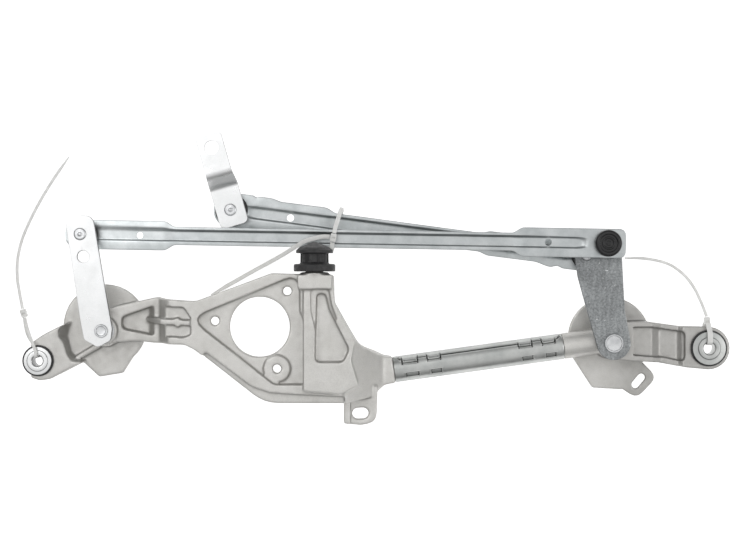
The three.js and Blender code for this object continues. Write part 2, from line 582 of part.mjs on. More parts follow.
function motorRod() {
  const length = Math.hypot(RIGHT_BACK_BALL[0] - CRANK_BALL[0], RIGHT_BACK_BALL[1] - CRANK_BALL[1]);
  const half = [[-14.5, 14.2, 14.1], [16, 14.2], [18.5, 13], [21, 14, 1], [29, 14, 3], [38, 11.8, 6],
    [74, 12, 5],
    [84, 8.2, 6], [200, 7.6, 5], [208, 10, 4], [246, 10, 6], [261, 12.7, 4], [266, 11.8], [269, 12.7],
    [length + 13.4, 12.7, 9]];
  const trough = [15, length - 15, 5.8];
  const holes = [[47.6, 2.9], [length - 60, 2.7]];
  const reach = SOCKET_RADIUS + GAP + 0.01;
  const rod = pressedRod(half, MOTOR_ROD_LEVEL, trough, holes, [[0, reach], [length, reach]]);
  place('motor_rod_plate', aimed(rod, CRANK_BALL, RIGHT_BACK_BALL), 'blue_zinc');
}

// The left socket and its boot are oblong and leave the ball room to shift along the rod.
function leftOpenSocket() {
  const shift = 1;
  const slack = 1.7;
  const top = CROSS_ROD_LEVEL + ROD_THICKNESS;
  const below = CROSS_ROD_LEVEL - GAP;
  const oblong = (radius, bottom, ceiling) => capsule([shift, 0], radius + slack, radius, 0, bottom, ceiling);
  let socket = oblong(SOCKET_RADIUS, below - 7, top + GAP + 1.2);
  socket = socket.add(oblong(SOCKET_CAP_RADIUS, below - 7, below));
  socket = socket.add(oblong(SOCKET_RADIUS + 1.2, top + GAP, top + GAP + 1.2));
  socket = socket.subtract(oblong(BALL_RADIUS + 1.3, below - 5.4, top + 10));
  place('left_ball_socket', aimed(socket, LEFT_BALL, RIGHT_FRONT_BALL), 'black_plastic');
  const bootBottom = top + GAP * 2 + 1.2;
  const bootTop = LEFT_BOSS_TOP + 1 - GAP;
  let boot = oblong(SOCKET_RADIUS + 1.4, bootBottom, bootTop - 1.4).add(oblong(8.8, bootBottom, bootTop));
  boot = boot.subtract(oblong(7.6, bootBottom - 1, bootTop + 1));
  place('left_ball_boot', aimed(boot, LEFT_BALL, RIGHT_FRONT_BALL), 'rubber');
}

function ballJoints() {
  const crossMiddle = CROSS_ROD_LEVEL + 1;
  const motorMiddle = MOTOR_ROD_LEVEL + 1;
  const leftFace = LEFT_BOSS_TOP + 1;
  const rightTop = RIGHT_BOSS_TOP + 1 + LEVER_THICKNESS;
  const rightFace = RIGHT_BOSS_TOP + 1;
  ballStud('left_ball_stud', LEFT_BALL, leftFace, -1, leftFace - crossMiddle);
  ballStud('right_front_ball_stud', RIGHT_FRONT_BALL, rightTop, 1, crossMiddle - rightTop);
  ballStud('right_back_ball_stud', RIGHT_BACK_BALL, rightFace, -1, rightFace - motorMiddle);
  ballStud('crank_ball_stud', CRANK_BALL, 1, -1, 1 - motorMiddle);
  ballSocket('right_front_ball_socket', RIGHT_FRONT_BALL, CROSS_ROD_LEVEL, 1);
  ballSocket('right_back_ball_socket', RIGHT_BACK_BALL, MOTOR_ROD_LEVEL + ROD_THICKNESS, -1);
  ballSocket('crank_ball_socket', CRANK_BALL, MOTOR_ROD_LEVEL + ROD_THICKNESS, -1);
  dustBoot('right_front_ball_boot', RIGHT_FRONT_BALL, rightTop, 1, CROSS_ROD_LEVEL - rightTop);
  const backGap = rightFace - MOTOR_ROD_LEVEL - ROD_THICKNESS;
  dustBoot('right_back_ball_boot', RIGHT_BACK_BALL, rightFace, -1, backGap);
  dustBoot('crank_ball_boot', CRANK_BALL, 1, -1, 1 - MOTOR_ROD_LEVEL - ROD_THICKNESS);
}

// --- nylon ties --------------------------------------------------------------------------------

// A strap's path. Its width stays along the given side, or level where no side is given.
class StrapPath extends THREE.CatmullRomCurve3 {
  constructor(route, side) {
    super(route.map((point) => new THREE.Vector3(...point)));
    this.side = side && new THREE.Vector3(...side);
  }

  computeFrenetFrames(steps) {
    const frames = { tangents: [], normals: [], binormals: [] };
    for (let i = 0; i <= steps; i += 1) {
      const tangent = this.getTangentAt(i / steps);
      const side = this.side ?? new THREE.Vector3(-tangent.y, tangent.x, 0);
      const binormal = side.clone().addScaledVector(tangent, -side.dot(tangent)).normalize();
      frames.tangents.push(tangent);
      frames.normals.push(binormal.clone().cross(tangent));
      frames.binormals.push(binormal);
    }
    return frames;
  }
}

function strap(name, route, steps, side, width = STRAP_WIDTH) {
  const path = new StrapPath(route, side);
  const x = STRAP_THICKNESS / 2;
  const y = width / 2;
  const section = outline([[x, y], [-x, y], [-x, -y], [x, -y]]);
  const geometry = new THREE.ExtrudeGeometry(section, { steps, bevelEnabled: false, extrudePath: path });
  place(name, solidOf(geometry), 'nylon');
}

function tieHead(name, [x, y, z], angle) {
  const head = prism([[-3.2, 2.3, 0.6], [3.2, 2.3, 0.6], [3.2, -2.3, 0.6], [-3.2, -2.3, 0.6]], -2, 2, 2);
  place(name, head.rotate([0, 0, angle]).translate([x, y, z]), 'nylon');
}

function ties() {
  tieHead('left_tie_head', [-12.9, 37.4, 4], 108);
  strap('left_tie_loop', [
    [-11.7, 33.8, 5.4], [-10.4, 30, 7.6], [-8.6, 25.6, 10.4], [-5.6, 18.8, 13.6], [-2.6, 12, 15.4],
    [-0.8, 7, 15.8],
    [-1.3, 4.4, 15.1], [-1.1, 2.9, 13.2], [-1.1, 2.8, 10], [-1.1, 2.8, 4], [-1.1, 2.8, -0.6], [-2, 4, -3.6],
    [-4.6, 8, -6], [-8.6, 14, -5.6], [-11.4, 20, -3.4], [-12.6, 27, -0.6], [-12.7, 33.6, 2.6],
  ], 34, [0.935, 0.355, 0]);
  strap('left_tie_tail', [
    [-13.9, 41, 3.6], [-16.4, 52, 2], [-18.8, 66, 0.6], [-18.6, 81, 0], [-14.8, 97, 0], [-8, 113, 0],
    [0.5, 129, 0],
    [11, 146, 0], [22.5, 162.5, 0],
  ], 18);
  tieHead('right_tie_head', [536.2, 30.6, -15], 92);
  strap('right_tie_loop', [
    [536.5, 28.6, -12], [536.7, 25.6, -10], [536.9, 21.5, -7.2], [536.9, 16.4, -6.2], [536.8, 13.8, -6.6],
    [536.8, 12.2, -8.6], [536.8, 12, -12], [536.8, 12, -18], [536.8, 12, -22.6], [536.6, 13.6, -25.2],
    [536.4, 18, -25.6], [536.2, 25, -24], [536.2, 29.6, -18.4],
  ], 28, [1, 0, 0], RIGHT_LOOP_WIDTH);
  strap('right_tie_tail', [
    [536, 34.4, -15.6], [534.8, 39, -18], [532.2, 46.6, -20], [526.4, 58.4, -20.6], [517.6, 69, -20.6],
    [505.4, 77, -20.6], [488.4, 81, -20.6], [470.5, 81.6, -20.6],
  ], 16);
  tieHead('centre_tie_head', [234.2, 97.4, 17.8], 80);
  strap('centre_tie_loop', [
    [234.8, 101, 17.4], [235.6, 104.4, 16.6], [237.6, 112.2, 9], [239.8, 120, 0], [240.8, 122, -7],
    [240.4, 120.4, -13.4],
    [238.6, 112, -15.4], [236, 101, -15.2], [233.4, 90.6, -9.2], [232.2, 86.2, 2], [232.2, 86.2, 11],
    [232.8, 88.2, 16.4],
    [233.6, 93.8, 17.4],
  ], 28, [0.96, -0.28, 0], CENTRE_STRAP_WIDTH);
  strap('centre_tie_tail', [
    [231.4, 98.2, 17], [224.4, 98, 16.8], [212.3, 94.8, 16.8], [205, 90.6, 16.8], [192, 82.6, 16],
    [169.3, 70.2, 13],
    [150, 59.4, 10.4], [137, 52, 9],
  ], 24, undefined, CENTRE_STRAP_WIDTH);
}

motorBracket();
pivotBracket();
frameTube();
bodyMount('left', LEFT_BOLT, 0, 11, 4.2);
bodyMount('right', RIGHT_BOLT, RIGHT_BOLT_LEVEL, 13.3, 4.8);
locatingGrommet();
pivotBushes('left', LEFT_PIVOT, LEFT_BOSS_TOP);
pivotBushes('right', RIGHT_PIVOT, RIGHT_BOSS_TOP);
wiperShaft('left', LEFT_PIVOT, LEFT_BOSS_TOP, 5.2);
wiperShaft('right', RIGHT_PIVOT, RIGHT_BOSS_TOP, 8.4);
levers();
crossRod();
motorRod();
crankArm();
ballJoints();
leftOpenSocket();
ties();

export default root;
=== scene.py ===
"""The looks of a windshield wiper linkage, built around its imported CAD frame.

Sizes are in millimetres and become metres when a mesh is built. Places come from the frame's own nodes.
"""
import json
import math

import bmesh
import bpy
import numpy as np
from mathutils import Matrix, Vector

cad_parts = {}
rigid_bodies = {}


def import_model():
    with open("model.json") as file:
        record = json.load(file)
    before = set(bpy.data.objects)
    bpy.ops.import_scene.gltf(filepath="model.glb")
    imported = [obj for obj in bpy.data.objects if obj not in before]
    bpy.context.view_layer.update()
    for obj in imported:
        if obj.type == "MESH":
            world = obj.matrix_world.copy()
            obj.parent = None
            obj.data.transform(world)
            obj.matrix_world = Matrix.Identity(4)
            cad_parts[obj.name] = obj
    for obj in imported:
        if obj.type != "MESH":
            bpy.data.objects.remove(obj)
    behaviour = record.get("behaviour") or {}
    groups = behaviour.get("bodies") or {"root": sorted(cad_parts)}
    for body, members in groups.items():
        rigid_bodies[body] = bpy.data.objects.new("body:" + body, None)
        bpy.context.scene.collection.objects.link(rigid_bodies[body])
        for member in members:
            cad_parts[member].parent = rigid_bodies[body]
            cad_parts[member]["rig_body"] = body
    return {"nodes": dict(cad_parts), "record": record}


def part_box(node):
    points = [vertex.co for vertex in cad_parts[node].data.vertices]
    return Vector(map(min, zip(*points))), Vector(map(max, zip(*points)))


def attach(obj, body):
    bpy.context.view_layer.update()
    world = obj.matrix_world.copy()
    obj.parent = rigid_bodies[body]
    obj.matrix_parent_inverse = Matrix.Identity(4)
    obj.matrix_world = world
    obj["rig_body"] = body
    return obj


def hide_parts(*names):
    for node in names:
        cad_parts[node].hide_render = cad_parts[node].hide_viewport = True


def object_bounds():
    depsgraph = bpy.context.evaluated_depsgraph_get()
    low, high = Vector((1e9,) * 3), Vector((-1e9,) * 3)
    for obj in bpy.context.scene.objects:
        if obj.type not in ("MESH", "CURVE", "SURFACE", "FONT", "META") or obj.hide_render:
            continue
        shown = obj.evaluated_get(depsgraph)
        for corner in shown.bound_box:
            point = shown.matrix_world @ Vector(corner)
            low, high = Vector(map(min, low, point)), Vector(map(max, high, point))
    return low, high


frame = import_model()
cad_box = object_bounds()

MM = 0.001


# --- places and levels from the frame ------------------------------------------------------------

def plan(node):
    """The middle of a CAD node in plan."""
    low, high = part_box(node)
    return np.array([(low.x + high.x) / 2, (low.y + high.y) / 2]) / MM


def levels(node):
    """The lowest and highest level of a CAD node."""
    low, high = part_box(node)
    return low.z / MM, high.z / MM


LEFT_BOLT = plan("left_ear_sleeve")
RIGHT_BOLT = plan("right_ear_sleeve")
LEFT_PIVOT = plan("left_wiper_shaft")
RIGHT_PIVOT = plan("right_wiper_shaft")
LEFT_BALL = plan("left_ball_stud")
FRONT_BALL = plan("right_front_ball_stud")
BACK_BALL = plan("right_back_ball_stud")
CRANK_BALL = plan("crank_ball_stud")
OPENINGS = {row["name"]: np.array(row["box_m"]) / MM for row in frame["record"]["physics"]["openings"]}
CRANK_HUB = OPENINGS["crank_hub_hole"].mean(axis=0)[:2]
LEFT_LEVER_HOLE = OPENINGS["left_lever_hole"].mean(axis=0)[:2]

LEFT_LEVER = levels("left_lever_plate")
RIGHT_LEVER = levels("right_lever_plate")
CROSS_ROD_TOP = levels("cross_rod_plate")[1]
MOTOR_ROD_TOP = levels("motor_rod_plate")[1]
LEFT_BOSS_TOP = LEFT_LEVER[0] - 1
RIGHT_BOSS_TOP = RIGHT_LEVER[0] - 1
CRANK_LOW = levels("crank_arm_plate")[0]
PLATE_THICKNESS = 4
ROD_THICKNESS = 2
BALL_RADIUS = 6
NECK_RADIUS = 3.6
GAP = 0.3
# A face over this many square millimetres is shaded flat.
FLAT_FACE = 100


# --- materials -----------------------------------------------------------------------------------

class Recipe:
    """A Principled material with procedural patterns in the object's own coordinates."""

    def __init__(self, name, **values):
        self.material = bpy.data.materials.new(name)
        self.material.use_nodes = True
        self.tree = self.material.node_tree
        self.surface = self.tree.nodes["Principled BSDF"]
        for socket, value in values.items():
            self.surface.inputs[socket.replace("_", " ")].default_value = value
        self.place = self.tree.nodes.new("ShaderNodeTexCoord").outputs["Object"]
        self.height = None

    def link(self, output, target):
        self.tree.links.new(output, target)

    def noise(self, scale, detail=3.0, roughness=0.55, stretch=(1, 1, 1)):
        mapping = self.tree.nodes.new("ShaderNodeMapping")
        mapping.inputs["Scale"].default_value = stretch
        self.link(self.place, mapping.inputs["Vector"])
        noise = self.tree.nodes.new("ShaderNodeTexNoise")
        noise.inputs["Scale"].default_value = scale
        noise.inputs["Detail"].default_value = detail
        noise.inputs["Roughness"].default_value = roughness
        self.link(mapping.outputs["Vector"], noise.inputs["Vector"])
        return noise.outputs["Fac"]

    def cells(self, scale):
        cells = self.tree.nodes.new("ShaderNodeTexVoronoi")
        cells.inputs["Scale"].default_value = scale
        self.link(self.place, cells.inputs["Vector"])
        return cells.outputs["Distance"]

    def edges(self):
        return self.tree.nodes.new("ShaderNodeNewGeometry").outputs["Pointiness"]

    def sides(self, shade):
        """Painted shade: one on faces that look up or down, darker on cut or drafted side faces."""
        split = self.tree.nodes.new("ShaderNodeSeparateXYZ")
        self.link(self.tree.nodes.new("ShaderNodeTexCoord").outputs["Normal"], split.inputs["Vector"])
        spread = self.tree.nodes.new("ShaderNodeMapRange")
        spread.inputs["From Min"].default_value = -1
        self.link(split.outputs["Z"], spread.inputs["Value"])
        middle = (1 + shade) / 2
        return self.ramp(
            spread.outputs["Result"], (0.12, 1.0), (0.24, middle), (0.36, shade), (0.64, shade),
            (0.76, middle), (0.88, 1.0),
        )

    def along(self, *stops):
        """Colours or greys along the length of the linkage, by distance in metres."""
        split = self.tree.nodes.new("ShaderNodeSeparateXYZ")
        self.link(self.place, split.inputs["Vector"])
        return self.ramp(split.outputs["X"], *stops)

    def ramp(self, source, *stops):
        """Colours or greys between positions: each stop is (position, value)."""
        ramp = self.tree.nodes.new("ShaderNodeValToRGB")
        elements = ramp.color_ramp.elements
        while len(elements) < len(stops):
            elements.new(0.5)
        for element, (position, value) in zip(elements, stops):
            element.position = position
            element.color = (*value, 1) if isinstance(value, tuple) else (value, value, value, 1)
        self.link(source, ramp.inputs["Fac"])
        return ramp.outputs["Color"]

    def mix(self, first, second, factor=1.0, kind="MULTIPLY"):
        mix = self.tree.nodes.new("ShaderNodeMix")
        mix.data_type = "RGBA"
        mix.blend_type = kind
        if isinstance(factor, float):
            mix.inputs["Factor"].default_value = factor
        else:
            self.link(factor, mix.inputs["Factor"])
        self.link(first, mix.inputs[6])
        self.link(second, mix.inputs[7])
        return mix.outputs[2]

    def colour(self, output):
        self.link(output, self.surface.inputs["Base Color"])

    def rough(self, source, low, high):
        spread = self.tree.nodes.new("ShaderNodeMapRange")
        spread.inputs["From Min"].default_value = 0.3
        spread.inputs["From Max"].default_value = 0.7
        spread.inputs["To Min"].default_value = low
        spread.inputs["To Max"].default_value = high
        self.link(source, spread.inputs["Value"])
        self.link(spread.outputs["Result"], self.surface.inputs["Roughness"])

    def bump(self, source, strength, distance):
        """Adds a layer of relief; the distance is in millimetres."""
        bump = self.tree.nodes.new("ShaderNodeBump")
        bump.inputs["Strength"].default_value = strength
        bump.inputs["Distance"].default_value = distance * MM
        self.link(source, bump.inputs["Height"])
        if self.height is not None:
            self.link(self.height, bump.inputs["Normal"])
        self.height = bump.outputs["Normal"]
        self.link(self.height, self.surface.inputs["Normal"])


def casting_material():
    """Die-cast aluminium: satin, faintly clouded, with a blasted grain and rubbed edges; painted shade
    darkens its creases, drafted side faces and right arm.
    """
    recipe = Recipe("die_cast_aluminium", Metallic=0.8)
    cloud = recipe.noise(55, detail=4)
    grain = recipe.noise(1500, detail=2)
    base = recipe.ramp(cloud, (0.3, (0.65, 0.64, 0.612)), (0.7, (0.74, 0.73, 0.705)))
    # Painted shade along the length: darker on the right arm and a little darker at the left end.
    painted_shade_along = recipe.along((0.06, 0.95), (0.16, 1.04), (0.42, 1.04), (0.43, 0.97), (0.455, 0.94), (0.475, 0.74))
    base = recipe.mix(base, painted_shade_along)
    specks = recipe.ramp(grain, (0.3, 0.90), (0.6, 1.0))
    # Rubbed edges make the convex rims a little lighter; painted shade makes the concave corners darker.
    wear_and_crease_shade = recipe.ramp(recipe.edges(), (0.42, 0.74), (0.49, 0.98), (0.52, 1.0), (0.58, 1.1))
    worn_and_shaded = recipe.mix(recipe.mix(base, specks), wear_and_crease_shade)
    # Painted shade darkens drafted side faces.
    recipe.colour(recipe.mix(worn_and_shaded, recipe.sides(0.74)))
    recipe.rough(recipe.noise(240, detail=3), 0.42, 0.60)
    recipe.bump(recipe.noise(260, detail=3), 0.10, 0.25)
    recipe.bump(grain, 0.22, 0.12)
    return recipe.material


def zinc_material(name, dark, light, blotch, rough, scratches=0.05, side=0.5, crease_shade=1.0, painted_left_light=1.0):
    """Zinc plating: a two-tone bloom, fine spangle and drawn scratches, with painted shade and painted light.

    rough holds the lowest and the highest roughness. side sets the painted shade on drafted side faces,
    crease the painted shade in grooves, and fresh the painted light that brightens the end by the left pivot.
    """
    recipe = Recipe(name, Metallic=0.92)
    bloom = recipe.noise(blotch, detail=5, roughness=0.62)
    base = recipe.ramp(bloom, (0.34, dark), (0.66, light))
    # Painted light: the end by the left pivot is made lighter.
    base = recipe.mix(base, recipe.along((0.07, painted_left_light), (0.16, 1.0)))
    spangle = recipe.ramp(recipe.cells(900), (0.0, 0.95), (0.6, 1.0))
    # Painted shade in grooves and seams.
    painted_crease_shade = recipe.ramp(recipe.edges(), (0.455, crease_shade), (0.494, 1.0))
    # The colour gets painted shade on drafted side faces and in grooves.
    recipe.colour(recipe.mix(recipe.mix(recipe.mix(base, spangle), recipe.sides(side)), painted_crease_shade))
    recipe.rough(recipe.noise(blotch * 2.4, detail=4), *rough)
    recipe.bump(recipe.noise(700, detail=2, stretch=(0.12, 1, 1)), scratches, 0.1)
    recipe.bump(recipe.noise(1800, detail=2), 0.06, 0.06)
    return recipe.material


def steel_material():
    """Turned steel: fine rings round the axis show as a stretched grain."""
    recipe = Recipe("turned_steel", Metallic=1.0)
    tone = recipe.noise(160, detail=3)
    recipe.colour(recipe.ramp(tone, (0.3, (0.56, 0.57, 0.58)), (0.7, (0.78, 0.79, 0.80))))
    recipe.rough(recipe.noise(500, detail=2), 0.24, 0.40)
    recipe.bump(recipe.noise(900, detail=2, stretch=(1, 1, 6)), 0.08, 0.06)
    return recipe.material


def rubber_material():
    """Moulded rubber: matt, a little dusty on its faces, with a fine pebble."""
    recipe = Recipe("moulded_rubber", Metallic=0.0, Specular_IOR_Level=0.5)
    dust = recipe.noise(140, detail=5, roughness=0.65)
    recipe.colour(recipe.ramp(dust, (0.35, (0.016, 0.016, 0.017)), (0.75, (0.045, 0.044, 0.044))))
    recipe.rough(recipe.noise(420, detail=3), 0.38, 0.62)
    recipe.bump(recipe.noise(1300, detail=3), 0.16, 0.1)
    return recipe.material


def plastic_material():
    """Moulded black acetal: satin with faint flow marks."""
    recipe = Recipe("black_acetal", Metallic=0.0, Specular_IOR_Level=0.5)
    flow = recipe.noise(90, detail=4)
    recipe.colour(recipe.ramp(flow, (0.3, (0.008, 0.008, 0.009)), (0.7, (0.016, 0.016, 0.017))))
    recipe.rough(recipe.noise(350, detail=3), 0.16, 0.34)
    recipe.bump(recipe.noise(900, detail=3), 0.14, 0.10)
    return recipe.material


def bush_material():
    """Sintered bronze: dull gold with open pores."""
    recipe = Recipe("sintered_bronze", Metallic=0.9)
    tone = recipe.noise(300, detail=4)
    base = recipe.ramp(tone, (0.3, (0.34, 0.27, 0.14)), (0.7, (0.52, 0.44, 0.26)))
    pores = recipe.ramp(recipe.cells(2600), (0.05, 0.55), (0.25, 1.0))
    recipe.colour(recipe.mix(base, pores))
    recipe.rough(tone, 0.42, 0.58)
    recipe.bump(recipe.cells(2600), 0.12, 0.06)
    return recipe.material


def mottled_material():
    """Passivated zinc on the right lever: dark, finely speckled, with drawn streaks, a few flecks and painted
    shade on drafted side faces.
    """
    recipe = Recipe("mottled_zinc", Metallic=0.85)
    cloud = recipe.noise(38, detail=3)
    base = recipe.ramp(cloud, (0.35, (0.245, 0.255, 0.26)), (0.65, (0.335, 0.35, 0.355)))
    grain = recipe.ramp(recipe.noise(620, detail=5, roughness=0.75), (0.36, 0.66), (0.64, 1.3))
    streaks = recipe.ramp(recipe.noise(420, detail=3, stretch=(1, 0.16, 1)), (0.35, 0.84), (0.65, 1.12))
    flecks = recipe.ramp(recipe.noise(330, detail=1), (0.74, 0.0), (0.80, 0.55))
    # Painted shade darkens drafted side faces.
    tone = recipe.mix(recipe.mix(recipe.mix(base, grain), streaks), recipe.sides(0.6))
    recipe.colour(recipe.mix(tone, flecks, kind="ADD"))
    recipe.rough(recipe.noise(500, detail=4), 0.34, 0.54)
    recipe.bump(recipe.noise(700, detail=4), 0.16, 0.10)
    return recipe.material


def nylon_material():
    """Natural nylon: milky, lets a little light in, with soft flow lines."""
    recipe = Recipe(
        "natural_nylon", Metallic=0.0, Subsurface_Weight=0.3, Subsurface_Scale=0.001,
        Subsurface_Radius=(1, 1, 1), Specular_IOR_Level=0.45,
    )
    tone = recipe.noise(220, detail=3)
    recipe.colour(recipe.ramp(tone, (0.3, (0.76, 0.76, 0.74)), (0.7, (0.86, 0.86, 0.845))))
    recipe.rough(recipe.noise(600, detail=2), 0.32, 0.50)
    recipe.bump(recipe.noise(1200, detail=2), 0.08, 0.06)
    return recipe.material


MATERIALS = {
    "casting": casting_material(),
    # The tube gets strong painted shade in its seam and crimp grooves and light painted shade on its side
    # faces.
    "tube": zinc_material(
        "rolled_tube_zinc", (0.46, 0.475, 0.465), (0.60, 0.61, 0.595), 60, (0.28, 0.40),
        scratches=0.09, side=0.8, crease_shade=0.08,
    ),
    # Bright zinc gets dark painted shade on its side faces.
    "bright_zinc": zinc_material(
        "bright_zinc", (0.77, 0.78, 0.78), (0.855, 0.86, 0.865), 45, (0.26, 0.38), side=0.22,
    ),
    # Blue zinc gets painted light on the end by the left pivot, and painted shade on its side faces.
    "blue_zinc": zinc_material(
        "blue_zinc", (0.47, 0.50, 0.505), (0.62, 0.645, 0.65), 60, (0.28, 0.42), painted_left_light=1.3,
    ),
    "mottled_zinc": mottled_material(),
    "shaft_steel": steel_material(),
    "rubber": rubber_material(),
    "black_plastic": plastic_material(),
    "bush": bush_material(),
    "nylon": nylon_material(),
}
SLOTS = {row["node"]: row["material_slot"] for row in frame["record"]["subparts"]}


# --- mesh helpers --------------------------------------------------------------------------------

def build(name, vertices, faces):
    """A new object from vertices in millimetres, with its faces pointing out."""
    mesh = bpy.data.meshes.new(name)
    mesh.from_pydata((np.asarray(vertices, float) * MM).tolist(), [], faces)
    work = bmesh.new()
    work.from_mesh(mesh)
    bmesh.ops.remove_doubles(work, verts=work.verts, dist=1e-7)
    bmesh.ops.recalc_face_normals(work, faces=work.faces)
    work.to_mesh(mesh)
    work.free()
    obj = bpy.data.objects.new(name, mesh)
    bpy.context.scene.collection.objects.link(obj)
    return obj


def applied(obj):
    """Turns an object's modifiers into mesh."""
    bpy.context.view_layer.update()
    graph = bpy.context.evaluated_depsgraph_get()
    old = obj.data
    obj.data = bpy.data.meshes.new_from_object(obj.evaluated_get(graph))
    obj.modifiers.clear()
    bpy.data.meshes.remove(old)
    return obj


def cut(obj, *tools):
    """Cuts tools out of an object and removes them."""
    for tool in tools:
        modifier = obj.modifiers.new("cut", "BOOLEAN")
        modifier.operation = "DIFFERENCE"
        modifier.solver = "EXACT"
        modifier.object = tool
    applied(obj)
    for tool in tools:
        bpy.data.objects.remove(tool)
    return obj


def bevelled(obj, width, segments=3, angle=32):
    modifier = obj.modifiers.new("bevel", "BEVEL")
    modifier.width = width * MM
    modifier.segments = segments
    modifier.limit_method = "ANGLE"
    modifier.angle_limit = math.radians(angle)
    modifier.harden_normals = False
    return applied(obj)


def wear(obj, node, sharp=34):
    """Gives a piece the finish and the body of the CAD node that it stands for."""
    obj.data.shade_smooth()
    obj.data.set_sharp_from_angle(angle=math.radians(sharp))
    for face in obj.data.polygons:
        if face.area > FLAT_FACE * MM**2:
            face.use_smooth = False
    obj.data.materials.clear()
    obj.data.materials.append(MATERIALS[SLOTS[node]])
    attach(obj, frame["nodes"][node]["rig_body"])
    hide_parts(node)
    return obj


def arc(start, corner, end, steps):
    """A quadratic round from start to end."""
    rows = []
    for i in range(steps + 1):
        t = i / steps
        rows.append((1 - t) ** 2 * start + 2 * t * (1 - t) * corner + t * t * end)
    return rows


def outline(corners, steps=7):
    """A closed outline through corners (x, y, fillet radius)."""
    points = []
    count = len(corners)
    for i, row in enumerate(corners):
        corner = np.array(row[:2], float)
        radius = row[2] if len(row) > 2 else 0
        before = np.array(corners[i - 1][:2], float) - corner
        after = np.array(corners[(i + 1) % count][:2], float) - corner
        before /= np.linalg.norm(before)
        after /= np.linalg.norm(after)
        if radius == 0:
            points.append(corner)
            continue
        reach = radius / math.tan(math.acos(np.clip(before @ after, -1, 1)) / 2)
        points += arc(corner + before * reach, corner, corner + after * reach, steps)
    return points


def rounded(profile, radius, steps=3):
    """Rounds the corners of a (radius, height) profile that is off the axis."""
    points = [np.array(p, float) for p in profile]
    closed = points[0][0] > 0
    result = []
    for i, corner in enumerate(points):
        ends = not closed and i in (0, len(points) - 1)
        before = points[i - 1] - corner
        after = points[(i + 1) % len(points)] - corner
        if ends:
            result.append(corner)
            continue
        long_before, long_after = np.linalg.norm(before), np.linalg.norm(after)
        reach = min(radius, 0.45 * long_before, 0.45 * long_after)
        start = corner + before / long_before * reach
        end = corner + after / long_after * reach
        result += arc(start, corner, end, steps)
    return result


def turned(name, profile, centre=(0, 0), level=0, up=1, segments=72, stretch=0, aim=0, span=360, wave=None):
    """A turned piece: (radius, height) points round a vertical axis.

    stretch makes it oblong along the direction aim, span leaves a gap, and wave changes the radius
    with the angle and the height.
    """
    closed = profile[0][0] > 0
    whole = span >= 360
    columns = segments if whole else segments + 1
    angles = np.radians(np.linspace(0, span, segments + 1))[:columns]
    vertices = []
    for angle in angles:
        for radius, height in profile:
            reach = radius + (wave(angle, height, radius) if wave else 0)
            x = reach * math.cos(angle) + stretch * np.sign(round(math.cos(angle), 6))
            y = reach * math.sin(angle)
            turn = math.radians(aim)
            vertices.append((
                centre[0] + x * math.cos(turn) - y * math.sin(turn),
                centre[1] + x * math.sin(turn) + y * math.cos(turn),
                level + up * height,
            ))
    rows = len(profile)
    faces = []
    for i in range(columns if whole else columns - 1):
        a, b = i * rows, (i + 1) % columns * rows
        for j in range(rows if closed else rows - 1):
            k = (j + 1) % rows
            faces.append((a + j, b + j, b + k, a + k))
    if not whole:
        faces += [tuple(range(rows)), tuple((columns - 1) * rows + j for j in range(rows))]
    return build(name, vertices, faces)


def prism(name, corners, bottom, top, steps=7):
    """A flat piece of the given outline."""
    points = outline(corners, steps)
    count = len(points)
    vertices = [(x, y, z) for z in (bottom, top) for x, y in points]
    faces = [tuple(range(count)), tuple(range(count, 2 * count))]
    faces += [(i, (i + 1) % count, count + (i + 1) % count, count + i) for i in range(count)]
    return build(name, vertices, faces)


def post(centre, radius, bottom, top, segments=64, stretch=0, aim=0):
    """A round or oblong post, used as a cutter or a pad."""
    profile = [(0, bottom), (radius, bottom), (radius, top), (0, top)]
    return turned("post", profile, centre, 0, 1, segments, stretch, aim)


def loft(name, sections):
    """A skin over closed sections with the same number of points, capped at both ends."""
    count = len(sections[0])
    vertices = [point for section in sections for point in section]
    faces = []
    for i in range(len(sections) - 1):
        for j in range(count):
            k = (j + 1) % count
            faces.append((i * count + j, (i + 1) * count + j, (i + 1) * count + k, i * count + k))
    faces.append(tuple(range(count)))
    faces.append(tuple((len(sections) - 1) * count + j for j in range(count)))
    return build(name, vertices, faces)


def smooth(t):
    """A soft step from 0 to 1."""
    t = min(1, max(0, t))
    return t * t * (3 - 2 * t)


def eased(rows, at):
    """A value between (position, value) rows, with soft changes."""
    for (a, first), (b, second) in zip(rows, rows[1:]):
        if at <= b:
            return first + (second - first) * smooth((at - a) / (b - a))
    return rows[-1][1]


def toward(start, end):
    """The length of a straight piece, and a function from its own x and y to the plan."""
    step = np.asarray(end, float) - np.asarray(start, float)
    length = np.linalg.norm(step)
    along = step / length
    across = np.array([-along[1], along[0]])
    return length, lambda x, y: tuple(start + along * x + across * y)


# --- castings ------------------------------------------------------------------------------------

def casting(node, voxel, soften):
    """A casting as it leaves its die: every edge and corner of the CAD solid gets a small round."""
    mesh = frame["nodes"][node].data.copy()
    work = bmesh.new()
    work.from_mesh(mesh)
    bmesh.ops.remove_doubles(work, verts=work.verts, dist=1e-6)
    work.to_mesh(mesh)
    work.free()
    obj = bpy.data.objects.new(node + "_skin", mesh)
    bpy.context.scene.collection.objects.link(obj)
    fuse = obj.modifiers.new("fuse", "REMESH")
    fuse.mode = "VOXEL"
    fuse.voxel_size = voxel * MM
    soft = obj.modifiers.new("soften", "SMOOTH")
    soft.factor = 0.5
    soft.iterations = soften
    return wear(applied(obj), node, sharp=70)


casting("motor_bracket_casting", 0.85, 7)
casting("right_pivot_casting", 0.7, 4)


# --- frame tube ----------------------------------------------------------------------------------

